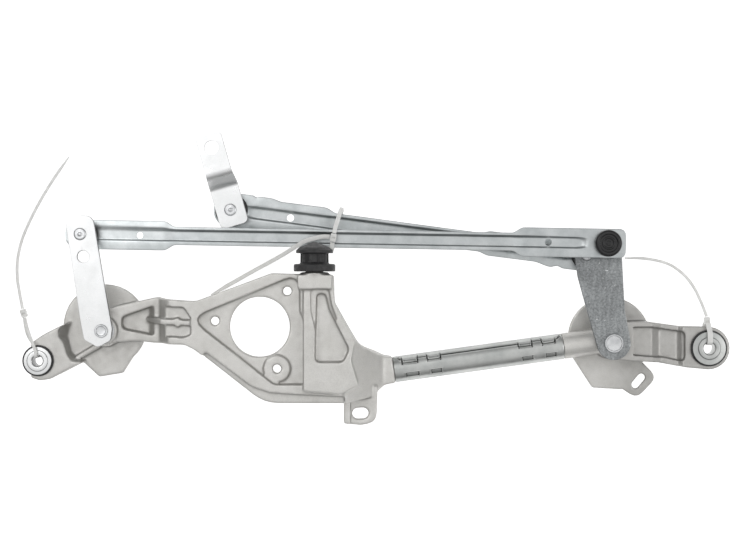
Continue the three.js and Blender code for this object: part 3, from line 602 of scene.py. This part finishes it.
def frame_tube():
    """The tube's wall, with its rolled seam and the crimps that hold the castings' spigots."""
    low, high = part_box("frame_tube")
    level = (low.z + high.z) / 2 / MM
    radius = (high.z - low.z) / 2 / MM
    wall = 1.5
    tilt = (high.y - low.y) / MM - 2 * radius
    run = (high.x - low.x) / MM
    angle = math.atan2(tilt, run - 2 * radius * math.sin(math.atan2(tilt, run)))
    side = np.array([math.sin(angle), math.cos(angle)]) * radius
    start = np.array([low.x / MM, low.y / MM + radius * math.cos(angle)]) + (side[0], 0)
    end = np.array([high.x / MM - side[0], high.y / MM - side[1]])
    length, place = toward(start, end)

    # The seam's angle from the level, along the tube: it steps round each crimp.
    seam = [(0, 27), (3, 29), (6.4, 43), (7.4, 64), (19, 65), (20, 42), (26.8, 42), (27.8, 64), (37.4, 64),
            (38.6, 46), (length - 36.4, 46), (length - 35.4, 65), (length - 25.4, 65), (length - 24.4, 41),
            (length - 17.4, 41), (length - 16.4, 64), (length - 7, 63), (length - 5.6, 46), (length, 27)]
    crimps = [(7.6, 18.8), (28, 37.2), (length - 35.2, length - 25.6), (length - 16.2, length - 7.2)]
    dents = [(low + 1.2, high + 0.6) for low, high in crimps]

    def band(value, low, high, soft):
        return smooth((value - low) / soft + 0.5) * smooth((high - value) / soft + 0.5)

    def drop(s, theta):
        degrees = math.degrees(theta)
        fall = 0
        if 20 < degrees < 72:
            slope = (eased(seam, s + 0.2) - eased(seam, s - 0.2)) / 0.4
            gap = abs(degrees - eased(seam, s)) / math.hypot(1, math.radians(slope) * radius)
            fall += 1.3 * smooth((5.0 - gap) / 2.2)
            fall -= 0.20 * smooth(1 - abs(gap - 7.5) / 3.5)
            for first, last in crimps:
                fall += 0.5 * band(s, first + 0.6, last - 0.6, 0.9) * band(degrees, 46, 60, 3)
        if 95 < degrees < 160:
            for first, last in dents:
                inside = band(s, first, last, 0.8) * band(degrees, 110, 134, 4)
                rim = band(s, first - 0.8, last + 0.8, 0.9) * band(degrees, 105, 139, 4)
                fall += 1.1 * inside - 0.3 * (rim - inside)
        return fall

    angles = np.radians(np.concatenate([
        np.arange(18, 74, 0.9), np.arange(74, 102, 4), np.arange(102, 146, 1.6), np.arange(146, 378, 4.5),
    ]))
    stations = np.linspace(0, length, int(length / 0.42))
    sections = []
    for s in stations:
        trim = 0.25 if s in (stations[0], stations[-1]) else 0
        section = []
        for theta in angles:
            reach = radius - trim - drop(s, theta)
            x, y = place(s, reach * math.cos(theta))
            section.append((x, y, level + reach * math.sin(theta)))
        sections.append(section)
    outer = loft("frame_tube_wall", sections)
    inner = []
    for s in (-1, length + 1):
        ring = []
        for theta in np.linspace(0, 2 * math.pi, 48, endpoint=False):
            x, y = place(s, (radius - wall) * math.cos(theta))
            ring.append((x, y, level + (radius - wall) * math.sin(theta)))
        inner.append(ring)
    cut(outer, loft("bore", inner))
    wear(outer, "frame_tube", sharp=55)


frame_tube()


# --- pressed rods --------------------------------------------------------------------------------

def pressed_rod(node, start, end, top, widths, trough, span, ends, holes, sockets):
    """A rod pressed from sheet: flat pads at its ends and a channel with round ends between them.

    widths holds (distance, half width). trough holds (distance, half width of the channel's floor,
    depth, width of the wall on the left of the run, width of the one on its right, drop of the rod's
    edges). span is where the channel starts and ends, and ends holds each pad's overhang past its ball
    and its corner radius. holes are round, and sockets may be oblong along the rod.
    """
    length, place = toward(start, end)
    first, last = -ends[0][0], length + ends[1][0]
    stations = set(np.arange(first, last, 1.6).tolist() + [last])
    for limit, sign in ((first, 1), (last, -1)):
        stations |= {limit + sign * 14 * (1 - math.cos(t)) for t in np.linspace(0.03, 1.5, 22)}
    for limit in span:
        stations |= set(np.arange(limit - 3, limit + 8 if limit == span[0] else limit + 3, 0.5).tolist())
        stations |= set(np.arange(limit - 8, limit, 0.5).tolist()) if limit == span[1] else set()
    stations = sorted(s for s in stations if first <= s <= last)

    def half_width(s):
        width = eased(widths, s)
        for reach, (_, radius) in ((s - first, ends[0]), (last - s, ends[1])):
            if reach < radius:
                width += math.sqrt(max(0, radius**2 - (radius - reach) ** 2)) - radius
        return max(width, 1.1)

    def spread(s, part):
        return eased([(row[0], row[part]) for row in trough], s)

    sections = []
    for s in stations:
        half = half_width(s)
        web, depth, left, right, lip = (spread(s, part) for part in (1, 2, 3, 4, 5))
        edge = 0.45
        flange = half - edge
        past = 0.32 * max(span[0] + web - s, s - span[1] + web, 0)

        def fall(y, extra=0.0):
            wall = (left if y > 0 else right) + 2 * extra
            reach = (y**4 + past**4) ** 0.25
            return depth * smooth((web + extra + wall - reach) / wall)

        def curl(y):
            shoulder = web + (left if y > 0 else right)
            return lip * max(0, (abs(y) - shoulder) / max(half - shoulder, 0.5)) ** 2

        def upper(y):
            return top - fall(y) - curl(y)

        def under(y):
            return top - ROD_THICKNESS - 0.94 * fall(y, 0.6) - 0.5 * curl(y)

        rows = []
        for wall, sign in ((right, -1), (left, 1)):
            inner = min(web, 0.6 * half)
            outer = min(web + wall, 0.82 * flange)
            side = [*np.linspace(0, inner, 5), *np.linspace(inner, outer, 9)[1:]]
            side += [*np.linspace(outer, flange, 7)[1:]]
            rows.append([sign * y for y in side])
        ys = rows[0][:0:-1] + rows[1]
        section = [(y, upper(y)) for y in ys]
        section += [(half - 0.13, upper(flange) - 0.13), (half, upper(flange) - edge)]
        section += [(half, under(flange) + edge), (half - 0.13, under(flange) + 0.13)]
        section += [(y, under(y)) for y in reversed(ys)]
        section += [(-half + 0.13, under(-flange) + 0.13), (-half, under(-flange) + edge)]
        section += [(-half, upper(-flange) - edge), (-half + 0.13, upper(-flange) - 0.13)]
        sections.append([(*place(s, y), z) for y, z in section])
    rod = loft(node + "_pressing", sections)
    tools = []
    for s, radius in holes:
        tools.append(post(place(s, 0), radius, top - 12, top + 6, 40))
    direction = math.degrees(math.atan2(*(np.asarray(end) - start)[::-1]))
    for s, radius, stretch in sockets:
        tools.append(post(place(s, 0), radius, top - 12, top + 6, 72, stretch, direction))
    cut(rod, *tools)
    return wear(rod, node, sharp=58)


def rods():
    length, _ = toward(LEFT_BALL, FRONT_BALL)
    pressed_rod(
        "cross_rod_plate", LEFT_BALL, FRONT_BALL, CROSS_ROD_TOP,
        [(-13.5, 11.6), (64, 11.6), (74, 7.2), (length - 76, 7.2), (length - 66, 11.6),
         (length + 14.6, 11.6)],
        [(15, 3.2, 1.6, 4.4, 1.4, 0.5), (62, 3.2, 3.4, 3.6, 1.4, 0.5), (74, 3.4, 4.3, 1.9, 1.0, 0.12),
         (length - 78, 3.4, 4.3, 1.9, 1.0, 0.12), (length - 64, 3.2, 2.8, 2.2, 1.4, 0.4),
         (length - 24, 3.2, 2.2, 1.6, 1.6, 0.3)],
        (14, length - 27), ((13.5, 10), (14.6, 5)),
        [(45, 2.6), (length - 46.6, 2.7)],
        [(1, 9.0, 1.7), (length, 9.0, 0)],
    )
    length, _ = toward(CRANK_BALL, BACK_BALL)
    pressed_rod(
        "motor_rod_plate", CRANK_BALL, BACK_BALL, MOTOR_ROD_TOP,
        [(-14.5, 14.2), (16, 14.2), (18.6, 12.9), (21.4, 13.9), (30, 13.8), (40, 11.9), (74, 12), (85, 8.3),
         (200, 7.7), (210, 10), (246, 10), (260, 12.6), (265.5, 11.2), (271, 12.6), (length + 13.4, 12.7)],
        [(24, 3.4, 2.6, 2.6, 1.8, 0.5), (72, 3.6, 3.4, 2.2, 1.4, 0.5), (86, 4.0, 4.3, 2.0, 1.2, 0.15),
         (200, 4.0, 4.3, 2.0, 1.2, 0.15), (212, 3.6, 3.2, 2.2, 1.6, 0.5),
         (length - 20, 3.4, 2.6, 2.2, 1.6, 0.5)],
        (22, length - 18), ((14.5, 14.2), (13.4, 9)),
        [(47.6, 2.9), (length - 60, 2.7)],
        [(0, 9.0, 0), (length, 9.0, 0)],
    )


rods()


# --- levers and crank ----------------------------------------------------------------------------

def lever_plate(node, corners, bottom, holes):
    plate = prism(node + "_blank", corners, bottom, bottom + PLATE_THICKNESS)
    cut(plate, *[post(centre, radius, bottom - 3, bottom + PLATE_THICKNESS + 3) for centre, radius in holes])
    return wear(bevelled(plate, 0.45), node, sharp=20)


def levers():
    lever_plate(
        "left_lever_plate",
        [(23.6, 115, 9), (45.8, 115, 9), (56.4, 51.6), (61, 25.8, 3), (59.9, 16.8, 4), (50, 11.2, 5),
         (38.9, 17.4, 5), (35.7, 34.7)],
        LEFT_LEVER[0],
        [(LEFT_PIVOT, 4.7), (LEFT_BALL, NECK_RADIUS + GAP), (LEFT_LEVER_HOLE, 4.7)],
    )
    turns = np.radians(np.arange(8, -170, -6))
    foot = [RIGHT_PIVOT + 13.4 * np.array([math.cos(turn), math.sin(turn)]) for turn in turns]
    right = [(424.4, 96, 8), (438, 103.2, 8), (463.4, 103.4, 7), (464.2, 79.9), (466.2, 40, 8), *foot,
             (437.3, 35.7, 8), (429, 66, 8)]
    lever_plate(
        "right_lever_plate", right, RIGHT_LEVER[0],
        [(RIGHT_PIVOT, 4.7), (FRONT_BALL, NECK_RADIUS + GAP), (BACK_BALL, NECK_RADIUS + GAP)],
    )


def crank():
    """A strip bent twice, between the rod's ball and the motor shaft's hub."""
    length, place = toward(CRANK_BALL, CRANK_HUB)
    rise, tail, head = 12, 13, 18.6
    bends = [(-tail, 0), (17.5, 0), (31.5, rise), (length + head, rise)]
    sections = []
    steps = 170
    for i in range(steps + 1):
        s = -tail + (length + head - 8 + tail) * i / steps
        half = eased([(-tail, 11.5), (18, 11.5), (31, 10.5), (length + head, 10.5)], s)
        for reach, radius in ((s + tail, 4), (length + head - 8 - s, 2.5)):
            if reach < radius:
                half += math.sqrt(max(0, radius**2 - (radius - reach) ** 2)) - radius
        lift = eased(bends, s)
        slope = (eased(bends, s + 0.1) - eased(bends, s - 0.1)) / 0.2
        thick = PLATE_THICKNESS * math.hypot(1, min(slope, 1.05))
        middle = CRANK_LOW + PLATE_THICKNESS / 2 + lift
        section = []
        edge = 0.35
        for side in (1, -1):
            for y, z in ((half - edge, -1), (half, -0.75), (half, 0.75), (half - edge, 1))[::side]:
                section.append((*place(s, side * y), middle + z * thick / 2))
        sections.append(section)
    strip = loft("crank_arm_strip", sections)
    cut(strip, post(CRANK_HUB, 5.6, 8, 24), post(CRANK_BALL, NECK_RADIUS + GAP, -4, 8))
    wear(strip, "crank_arm_plate", sharp=30)


levers()
crank()


# --- ball joints ---------------------------------------------------------------------------------

def ball_stud(node, centre, face, up, distance, head=5.0):
    """A stud with its rivet head; heights run from the lever's face towards the ball."""
    back = -PLATE_THICKNESS - GAP
    profile = [(0, back - 1.75), (0.9, back - 1.7), (1.5, back - 1.2), (2.4, back - 1.05),
               (head - 1.3, back - 1.1), (head - 0.3, back - 0.6), (head, back), (NECK_RADIUS, back),
               (NECK_RADIUS, GAP), (NECK_RADIUS + 1, GAP), (NECK_RADIUS + 1, 1.2), (NECK_RADIUS, 1.5)]
    first = math.pi - math.asin(NECK_RADIUS / BALL_RADIUS)
    for i in range(13):
        angle = first * (1 - i / 12)
        profile.append((BALL_RADIUS * math.sin(angle), distance + BALL_RADIUS * math.cos(angle)))
    profile[-1] = (0, distance + BALL_RADIUS)
    wear(turned(node + "_turning", rounded(profile, 0.3), centre, face, up, 64), node)


def ball_socket(node, centre, face, up):
    """A moulded socket snapped into the rod; heights run from the rod's near face."""
    far = ROD_THICKNESS + GAP
    cup = BALL_RADIUS + 0.35
    profile = [(0, far + 5.9), (1.6, far + 5.9), (1.9, far + 5.5), (3.6, far + 5.5), (3.9, far + 6.3),
               (4.9, far + 6.4), (5.2, far + 5.8), (6.9, far + 5.8), (7.3, far + 6.9), (8.9, far + 6.9),
               (10.2, far + 6.0), (10.6, far + 4.9), (10.6, far), (8.7, far), (8.7, -GAP), (9.7, -GAP),
               (9.7, -1.6), (cup * math.cos(0.85) + 1.2, -3.4)]
    for i in range(11):
        angle = -0.85 + i * (math.pi / 2 + 0.85) / 10
        profile.append((cup * math.cos(angle), 1 + cup * math.sin(angle)))
    profile[-1] = (0, 1 + cup)
    wear(turned(node + "_moulding", rounded(profile, 0.35), centre, face, up, 80), node)


def dust_boot(node, centre, face, up, gap, flange=11.0):
    """A thin bellows between the lever and the socket."""
    half = gap / 2
    profile = [(5.4, GAP), (8.2, GAP), (9.0, 0.9), (8.4, half - 0.8), (10.2, half), (9.0, half + 0.9),
               (flange, gap - 1.4), (flange, gap - GAP), (10.1, gap - GAP), (10.0, gap - 1.7),
               (8.0, half + 0.9), (9.0, half), (7.4, half - 0.8), (7.2, 1.6), (5.4, 1.4)]
    wear(turned(node + "_bellows", rounded(profile, 0.4), centre, face, up, 72), node, sharp=60)


def ball_joints():
    right_top = RIGHT_LEVER[1]
    cross_low = CROSS_ROD_TOP - ROD_THICKNESS
    motor_low = MOTOR_ROD_TOP - ROD_THICKNESS
    ball_stud("left_ball_stud", LEFT_BALL, LEFT_LEVER[0], -1, LEFT_LEVER[0] - cross_low - 1)
    ball_stud("right_front_ball_stud", FRONT_BALL, right_top, 1, cross_low + 1 - right_top)
    ball_stud("right_back_ball_stud", BACK_BALL, RIGHT_LEVER[0], -1, RIGHT_LEVER[0] - motor_low - 1, head=4.1)
    ball_stud("crank_ball_stud", CRANK_BALL, CRANK_LOW, -1, CRANK_LOW - motor_low - 1)
    ball_socket("right_front_ball_socket", FRONT_BALL, cross_low, 1)
    ball_socket("right_back_ball_socket", BACK_BALL, MOTOR_ROD_TOP, -1)
    ball_socket("crank_ball_socket", CRANK_BALL, MOTOR_ROD_TOP, -1)
    dust_boot("right_front_ball_boot", FRONT_BALL, right_top, 1, cross_low - right_top)
    dust_boot("right_back_ball_boot", BACK_BALL, RIGHT_LEVER[0], -1, RIGHT_LEVER[0] - MOTOR_ROD_TOP)
    dust_boot("crank_ball_boot", CRANK_BALL, CRANK_LOW, -1, CRANK_LOW - MOTOR_ROD_TOP, flange=13.2)


def left_open_joint():
    """The left socket and its boot are oblong along the rod."""
    slack = 1.7
    length, place = toward(LEFT_BALL, FRONT_BALL)
    centre = place(1, 0)
    aim = math.degrees(math.atan2(*(FRONT_BALL - LEFT_BALL)[::-1]))
    below = CROSS_ROD_TOP - ROD_THICKNESS - GAP
    above = CROSS_ROD_TOP + GAP
    socket = [(0, below - 5.4), (7.3, below - 5.4), (7.3, above + 1.2), (9.9, above + 1.2), (9.9, above),
              (8.7, above), (8.7, below), (10.6, below), (10.6, below - 5.4), (9.2, below - 7),
              (0, below - 7)]
    moulding = turned("left_ball_socket_moulding", rounded(socket, 0.35), centre, 0, 1, 80, slack, aim)
    wear(moulding, "left_ball_socket")
    low, high = above + GAP + 1.2, LEFT_LEVER[0] - GAP
    middle = (low + high) / 2
    boot = [(7.6, low), (10.1, low), (10.1, low + 1.0), (9.0, middle), (9.8, middle + 0.7), (8.8, high - 0.4),
            (8.6, high), (7.6, high), (7.7, middle + 0.7), (7.6, middle)]
    bellows = turned("left_ball_boot_bellows", rounded(boot, 0.3), centre, 0, 1, 72, slack, aim)
    wear(bellows, "left_ball_boot", sharp=60)


ball_joints()
left_open_joint()


# --- pivots --------------------------------------------------------------------------------------

def pivot(side, centre, boss_top, stake_radius):
    """A wiper shaft staked into its lever, with its bushes, washers and ring."""
    stake = boss_top + 1 + PLATE_THICKNESS + GAP
    dish = stake_radius - 1.7
    shaft = [(0, stake + 0.9), (dish * 0.55, stake + 0.85), (dish, stake + 1.05), (dish + 0.5, stake + 1.6),
             (stake_radius - 0.5, stake + 1.6), (stake_radius, stake + 1.0), (stake_radius, stake),
             (4.4, stake), (4.4, boss_top + 0.7), (6, boss_top + 0.7), (6, boss_top - 46.6),
             (5.1, boss_top - 46.6), (5.1, boss_top - 48.4), (6, boss_top - 48.4), (6, boss_top - 53)]
    knurl_end = boss_top - 63
    shaft += [(6 - 1.1 * i / 10, boss_top - 53 - i) for i in range(1, 11)]
    shaft += [(4.5, knurl_end - 0.3), (3.55, knurl_end - 0.7)]
    thread_end = boss_top - 77
    shaft += [(3.75, z) for z in np.arange(knurl_end - 1.1, thread_end, -0.125)]
    shaft += [(3.2, boss_top - 77.7), (2.9, boss_top - 78), (0, boss_top - 78)]

    def wave(angle, height, radius):
        if knurl_end <= height <= boss_top - 53.5 and radius > 4.6:
            return -0.22 + 0.22 * math.cos(36 * angle)
        if thread_end < height < knurl_end - 1 and radius > 3.6:
            turn = (height / 1.0 - angle / (2 * math.pi)) % 1
            return -0.30 * abs(2 * turn - 1) + 0.15
        return 0

    turning = turned(f"{side}_wiper_shaft_turning", shaft, centre, 0, 1, 144, wave=wave)
    wear(turning, f"{side}_wiper_shaft", sharp=40)
    for where, base, radius, thick in (("upper", 0.1, 9.5, 0.5), ("lower", -45.9, 10.2, 1.2)):
        ring = rounded([(6.3, 0), (radius, 0), (radius, thick), (6.3, thick)], 0.15)
        node = f"{side}_{where}_thrust_washer"
        wear(turned(node + "_ring", ring, centre, boss_top + base), node)
    for where, base in (("upper", -14.5), ("lower", -43.5)):
        tube = [(6.08, 0.5), (6.6, 0), (7.3, 0), (7.7, 0.4), (7.7, 13.6), (7.3, 14), (6.6, 14), (6.08, 13.5)]
        wear(turned(f"{side}_{where}_bush_sleeve", tube, centre, boss_top + base), f"{side}_{where}_bush")
    clip = rounded([(5.3, 0), (8.2, 0), (8.2, 1.1), (5.3, 1.1)], 0.15)
    wear(turned(f"{side}_circlip_ring", clip, centre, boss_top - 48, aim=108, span=324), f"{side}_circlip")


pivot("left", LEFT_PIVOT, LEFT_BOSS_TOP, 5.2)
pivot("right", RIGHT_PIVOT, RIGHT_BOSS_TOP, 7.6)


# --- ear mounts and locating grommet -------------------------------------------------------------

def ear_mount(side, centre, washer, bore):
    """A rubber grommet in the ear with a flanged sleeve for the body bolt."""
    level = levels(f"{side}_ear_sleeve")[0]
    rubber = [(6.3, 0.4), (12.4, 0.4), (12.4, 1.7), (8.7, 1.7), (8.7, 10.3), (washer + 1.4, 10.3),
              (washer + 1.4, 11.8), (6.3, 11.8)]
    sleeve = [(bore, 0), (6, 0), (6, 12.1), (washer, 12.1), (washer, 13.2), (bore + 4.2, 13.2),
              (bore + 3.8, 14.1), (bore + 0.8, 14.1), (bore, 13.3)]
    wear(turned(f"{side}_ear_grommet_ring", rounded(rubber, 0.5), centre, level), f"{side}_ear_grommet")
    flange = turned(f"{side}_ear_sleeve_flange", rounded(sleeve, 0.35), centre, level, segments=96)
    wear(flange, f"{side}_ear_sleeve")


def locating_grommet():
    """A rubber thimble on the pin, with a pointed head, a fluted neck and a flange."""
    low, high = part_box("locating_grommet")
    centre = (low.x + high.x) / 2 / MM
    level = (low.z + high.z) / 2 / MM
    profile = [(0, 20), (6.3, 20), (6.3, 0), (15.6, 0), (16.2, 0.6), (16.2, 5.0), (15.4, 5.8), (11.6, 6.0),
               (10.7, 7.4), (10.6, 13.6), (11.2, 14.2), (14.0, 14.2), (14.4, 14.7), (14.4, 16.4), (12, 18.6),
               (6.5, 20.9), (2, 22.7), (0, 23)]

    def wave(angle, height, radius):
        if 7.2 < height < 13.8 and radius > 9:
            return -1.1 + 1.4 * abs(math.cos(5 * angle)) ** 12
        return 0

    obj = turned("locating_grommet_thimble", rounded(profile, 0.4), segments=120, wave=wave)
    for vertex in obj.data.vertices:
        x, y, z = vertex.co
        vertex.co = Vector((x + centre * MM, z + low.y, -y + level * MM))
    wear(obj, "locating_grommet", 50)


ear_mount("left", LEFT_BOLT, 11, 4.2)
ear_mount("right", RIGHT_BOLT, 13.3, 4.8)
locating_grommet()


# --- nylon ties ----------------------------------------------------------------------------------

def curve_points(route, spacing):
    """Evenly spaced points on a smooth curve through a route."""
    points = np.array(route, float)
    padded = np.vstack([2 * points[0] - points[1], points, 2 * points[-1] - points[-2]])
    fine = []
    for i in range(1, len(padded) - 2):
        a, b, c, d = padded[i - 1:i + 3]
        for t in np.linspace(0, 1, 24, endpoint=False):
            fine.append(0.5 * (2 * b + (c - a) * t + (2 * a - 5 * b + 4 * c - d) * t**2
                               + (3 * b - a - 3 * c + d) * t**3))
    fine.append(points[-1])
    fine = np.array(fine)
    travelled = np.concatenate([[0], np.cumsum(np.linalg.norm(np.diff(fine, axis=0), axis=1))])
    at = np.linspace(0, travelled[-1], int(travelled[-1] / spacing) + 1)
    return np.stack([np.interp(at, travelled, fine[:, k]) for k in range(3)], axis=1)


def strap(node, route, side=None, taper=0, width=2.4):
    """A tie's strap: a flat band with ratchet teeth down one face and a narrowing, ribbed tip."""
    points = curve_points(route, 0.4)
    tangents = np.gradient(points, axis=0)
    sections = []
    count = len(points)
    for i, (point, tangent) in enumerate(zip(points, tangents)):
        tangent = tangent / np.linalg.norm(tangent)
        wide = np.array(side if side else (-tangent[1], tangent[0], 0), float)
        wide -= wide @ tangent * tangent
        wide /= np.linalg.norm(wide)
        thin = np.cross(wide, tangent)
        left = (count - 1 - i) * 0.4
        narrow = 1 if left >= taper or taper == 0 else 0.5 + 0.5 * left / taper
        half, thick = width / 2 * narrow, 0.55
        tooth = 0.22 * (i % 3) / 2
        rows = [(-half, -thick * 0.6), (-half * 0.8, -thick), (half * 0.8, -thick), (half, -thick * 0.6),
                (half, thick * 0.6), (half * 0.8, thick), (half * 0.62, thick), (half * 0.6, thick - tooth),
                (-half * 0.6, thick - tooth), (-half * 0.62, thick), (-half * 0.8, thick),
                (-half, thick * 0.6)]
        sections.append([point + wide * a + thin * b for a, b in rows])
    wear(loft(node + "_band", sections), node, 50)


def tie_head(node, angle):
    """The tie's locking head: a rounded box with the strap's window."""
    low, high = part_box(node)
    centre = (low + high) / 2 / MM
    turn = math.radians(angle)
    head = prism("tie_head", [(-3.2, -2.3, 0.8), (3.2, -2.3, 0.8), (3.2, 2.3, 0.8), (-3.2, 2.3, 0.8)], -2, 2)
    window = prism("window", [(-1.1, -1.4, 0.2), (0.4, -1.4, 0.2), (0.4, 1.4, 0.2), (-1.1, 1.4, 0.2)], 0.6, 3)
    cut(head, window)
    bevelled(head, 0.35, 2)
    for vertex in head.data.vertices:
        x, y, z = vertex.co / MM
        vertex.co = Vector((
            centre.x + x * math.cos(turn) - y * math.sin(turn),
            centre.y + x * math.sin(turn) + y * math.cos(turn),
            centre.z + z,
        )) * MM
    head.name = node + "_box"
    wear(head, node)


def ties():
    tie_head("left_tie_head", 108)
    strap("left_tie_loop", [
        (-11.7, 33.8, 5.4), (-10.4, 30, 7.6), (-8.6, 25.6, 10.4), (-5.6, 18.8, 13.6), (-2.6, 12, 15.4),
        (-0.8, 7, 15.8), (-1.3, 4.4, 15.1), (-1.1, 2.9, 13.2), (-1.1, 2.8, 10), (-1.1, 2.8, 4),
        (-1.1, 2.8, -0.6), (-2, 4, -3.6), (-4.6, 8, -6), (-8.6, 14, -5.6), (-11.4, 20, -3.4),
        (-12.6, 27, -0.6), (-12.7, 33.6, 2.6),
    ], (0.935, 0.355, 0))
    strap("left_tie_tail", [
        (-13.9, 41, 3.6), (-16.4, 52, 2), (-18.8, 66, 0.6), (-18.6, 81, 0), (-14.8, 97, 0), (-8, 113, 0),
        (0.5, 129, 0), (11, 146, 0), (22.5, 162.5, 0),
    ], taper=14)
    tie_head("right_tie_head", 92)
    strap("right_tie_loop", [
        (536.5, 28.6, -12), (536.7, 25.6, -10), (536.9, 21.5, -7.2), (536.9, 16.4, -6.2), (536.8, 13.8, -6.6),
        (536.8, 12.2, -8.6), (536.8, 12, -12), (536.8, 12, -18), (536.8, 12, -22.6), (536.6, 13.6, -25.2),
        (536.4, 18, -25.6), (536.2, 25, -24), (536.2, 29.6, -18.4),
    ], (1, 0, 0), width=4.2)
    strap("right_tie_tail", [
        (536, 34.4, -15.6), (534.8, 39, -18), (532.2, 46.6, -20), (526.4, 58.4, -20.6), (517.6, 69, -20.6),
        (505.4, 77, -20.6), (488.4, 81, -20.6), (470.5, 81.6, -20.6),
    ], taper=14)
    tie_head("centre_tie_head", 80)
    strap("centre_tie_loop", [
        (234.8, 101, 17.4), (235.6, 104.4, 16.6), (237.6, 112, 9), (239.8, 119.6, 0), (240.8, 121.6, -7),
        (240.4, 120, -13.4), (238.6, 112, -15.4), (236, 101, -15), (233.4, 91, -9), (232.2, 86.4, 2),
        (232.2, 86.2, 11), (232.8, 88.2, 16.4), (233.6, 93.8, 17.4),
    ], (0.96, -0.28, 0), width=3.4)
    strap("centre_tie_tail", [
        (231.4, 98.2, 17), (224.4, 98, 16.8), (212.3, 94.8, 16.8), (205, 90.6, 16.8), (192, 82.6, 16),
        (169.3, 70.2, 13), (150, 59.4, 10.4), (137, 52, 9),
    ], taper=14, width=3.4)


ties()


# --- camera, floor and light ---------------------------------------------------------------------

def studio():
    """A pale floor under the shafts, a bright sky with a darker rim, and soft lamps."""
    scene = bpy.context.scene
    centre = Vector((0.2596, 0.0735, 0))
    camera = bpy.data.objects.new("camera", bpy.data.cameras.new("camera"))
    camera.location = (centre.x, centre.y, 1.200)
    camera.data.sensor_width = 36
    camera.data.lens = 73.87
    scene.collection.objects.link(camera)
    scene.camera = camera

    floor_level = cad_box[0].z - 0.002
    mesh = bpy.data.meshes.new("floor")
    reach = 3.0
    corners = [(-reach, -reach), (reach, -reach), (reach, reach), (-reach, reach)]
    mesh.from_pydata([(x, y, floor_level) for x, y in corners], [], [(0, 1, 2, 3)])
    floor = bpy.data.objects.new("floor", mesh)
    scene.collection.objects.link(floor)
    paper = bpy.data.materials.new("white_paper")
    paper.use_nodes = True
    surface = paper.node_tree.nodes["Principled BSDF"]
    surface.inputs["Base Color"].default_value = (0.92, 0.92, 0.92, 1)
    surface.inputs["Roughness"].default_value = 0.9
    surface.inputs["Emission Color"].default_value = (1, 1, 1, 1)
    surface.inputs["Emission Strength"].default_value = 0.6
    mesh.materials.append(paper)

    world = bpy.data.worlds.new("sky")
    scene.world = world
    world.use_nodes = True
    tree = world.node_tree
    place = tree.nodes.new("ShaderNodeTexCoord")
    split = tree.nodes.new("ShaderNodeSeparateXYZ")
    ramp = tree.nodes.new("ShaderNodeValToRGB")
    tree.links.new(place.outputs["Generated"], split.inputs["Vector"])
    tree.links.new(split.outputs["Z"], ramp.inputs["Fac"])
    elements = ramp.color_ramp.elements
    elements.new(0.5)
    for element, (position, grey) in zip(elements, ((0.02, 0.05), (0.5, 0.42), (0.92, 1.0))):
        element.position = position
        element.color = (grey, grey, grey, 1)
    tree.links.new(ramp.outputs["Color"], tree.nodes["Background"].inputs["Color"])
    tree.nodes["Background"].inputs["Strength"].default_value = 0.85

    for name, place_at, size, power in (
        ("key", (-0.42, 0.62, 1.30), 1.3, 4.2),
        ("side", (1.35, 0.10, 0.80), 0.9, 3.0),
    ):
        lamp = bpy.data.lights.new(name, "AREA")
        lamp.shape = "DISK"
        lamp.size = size
        lamp.energy = power
        obj = bpy.data.objects.new(name, lamp)
        obj.location = place_at
        obj.rotation_mode = "QUATERNION"
        obj.rotation_quaternion = (centre - Vector(place_at)).to_track_quat("-Z", "Y")
        scene.collection.objects.link(obj)
    scene.view_settings.view_transform = "Standard"


studio()
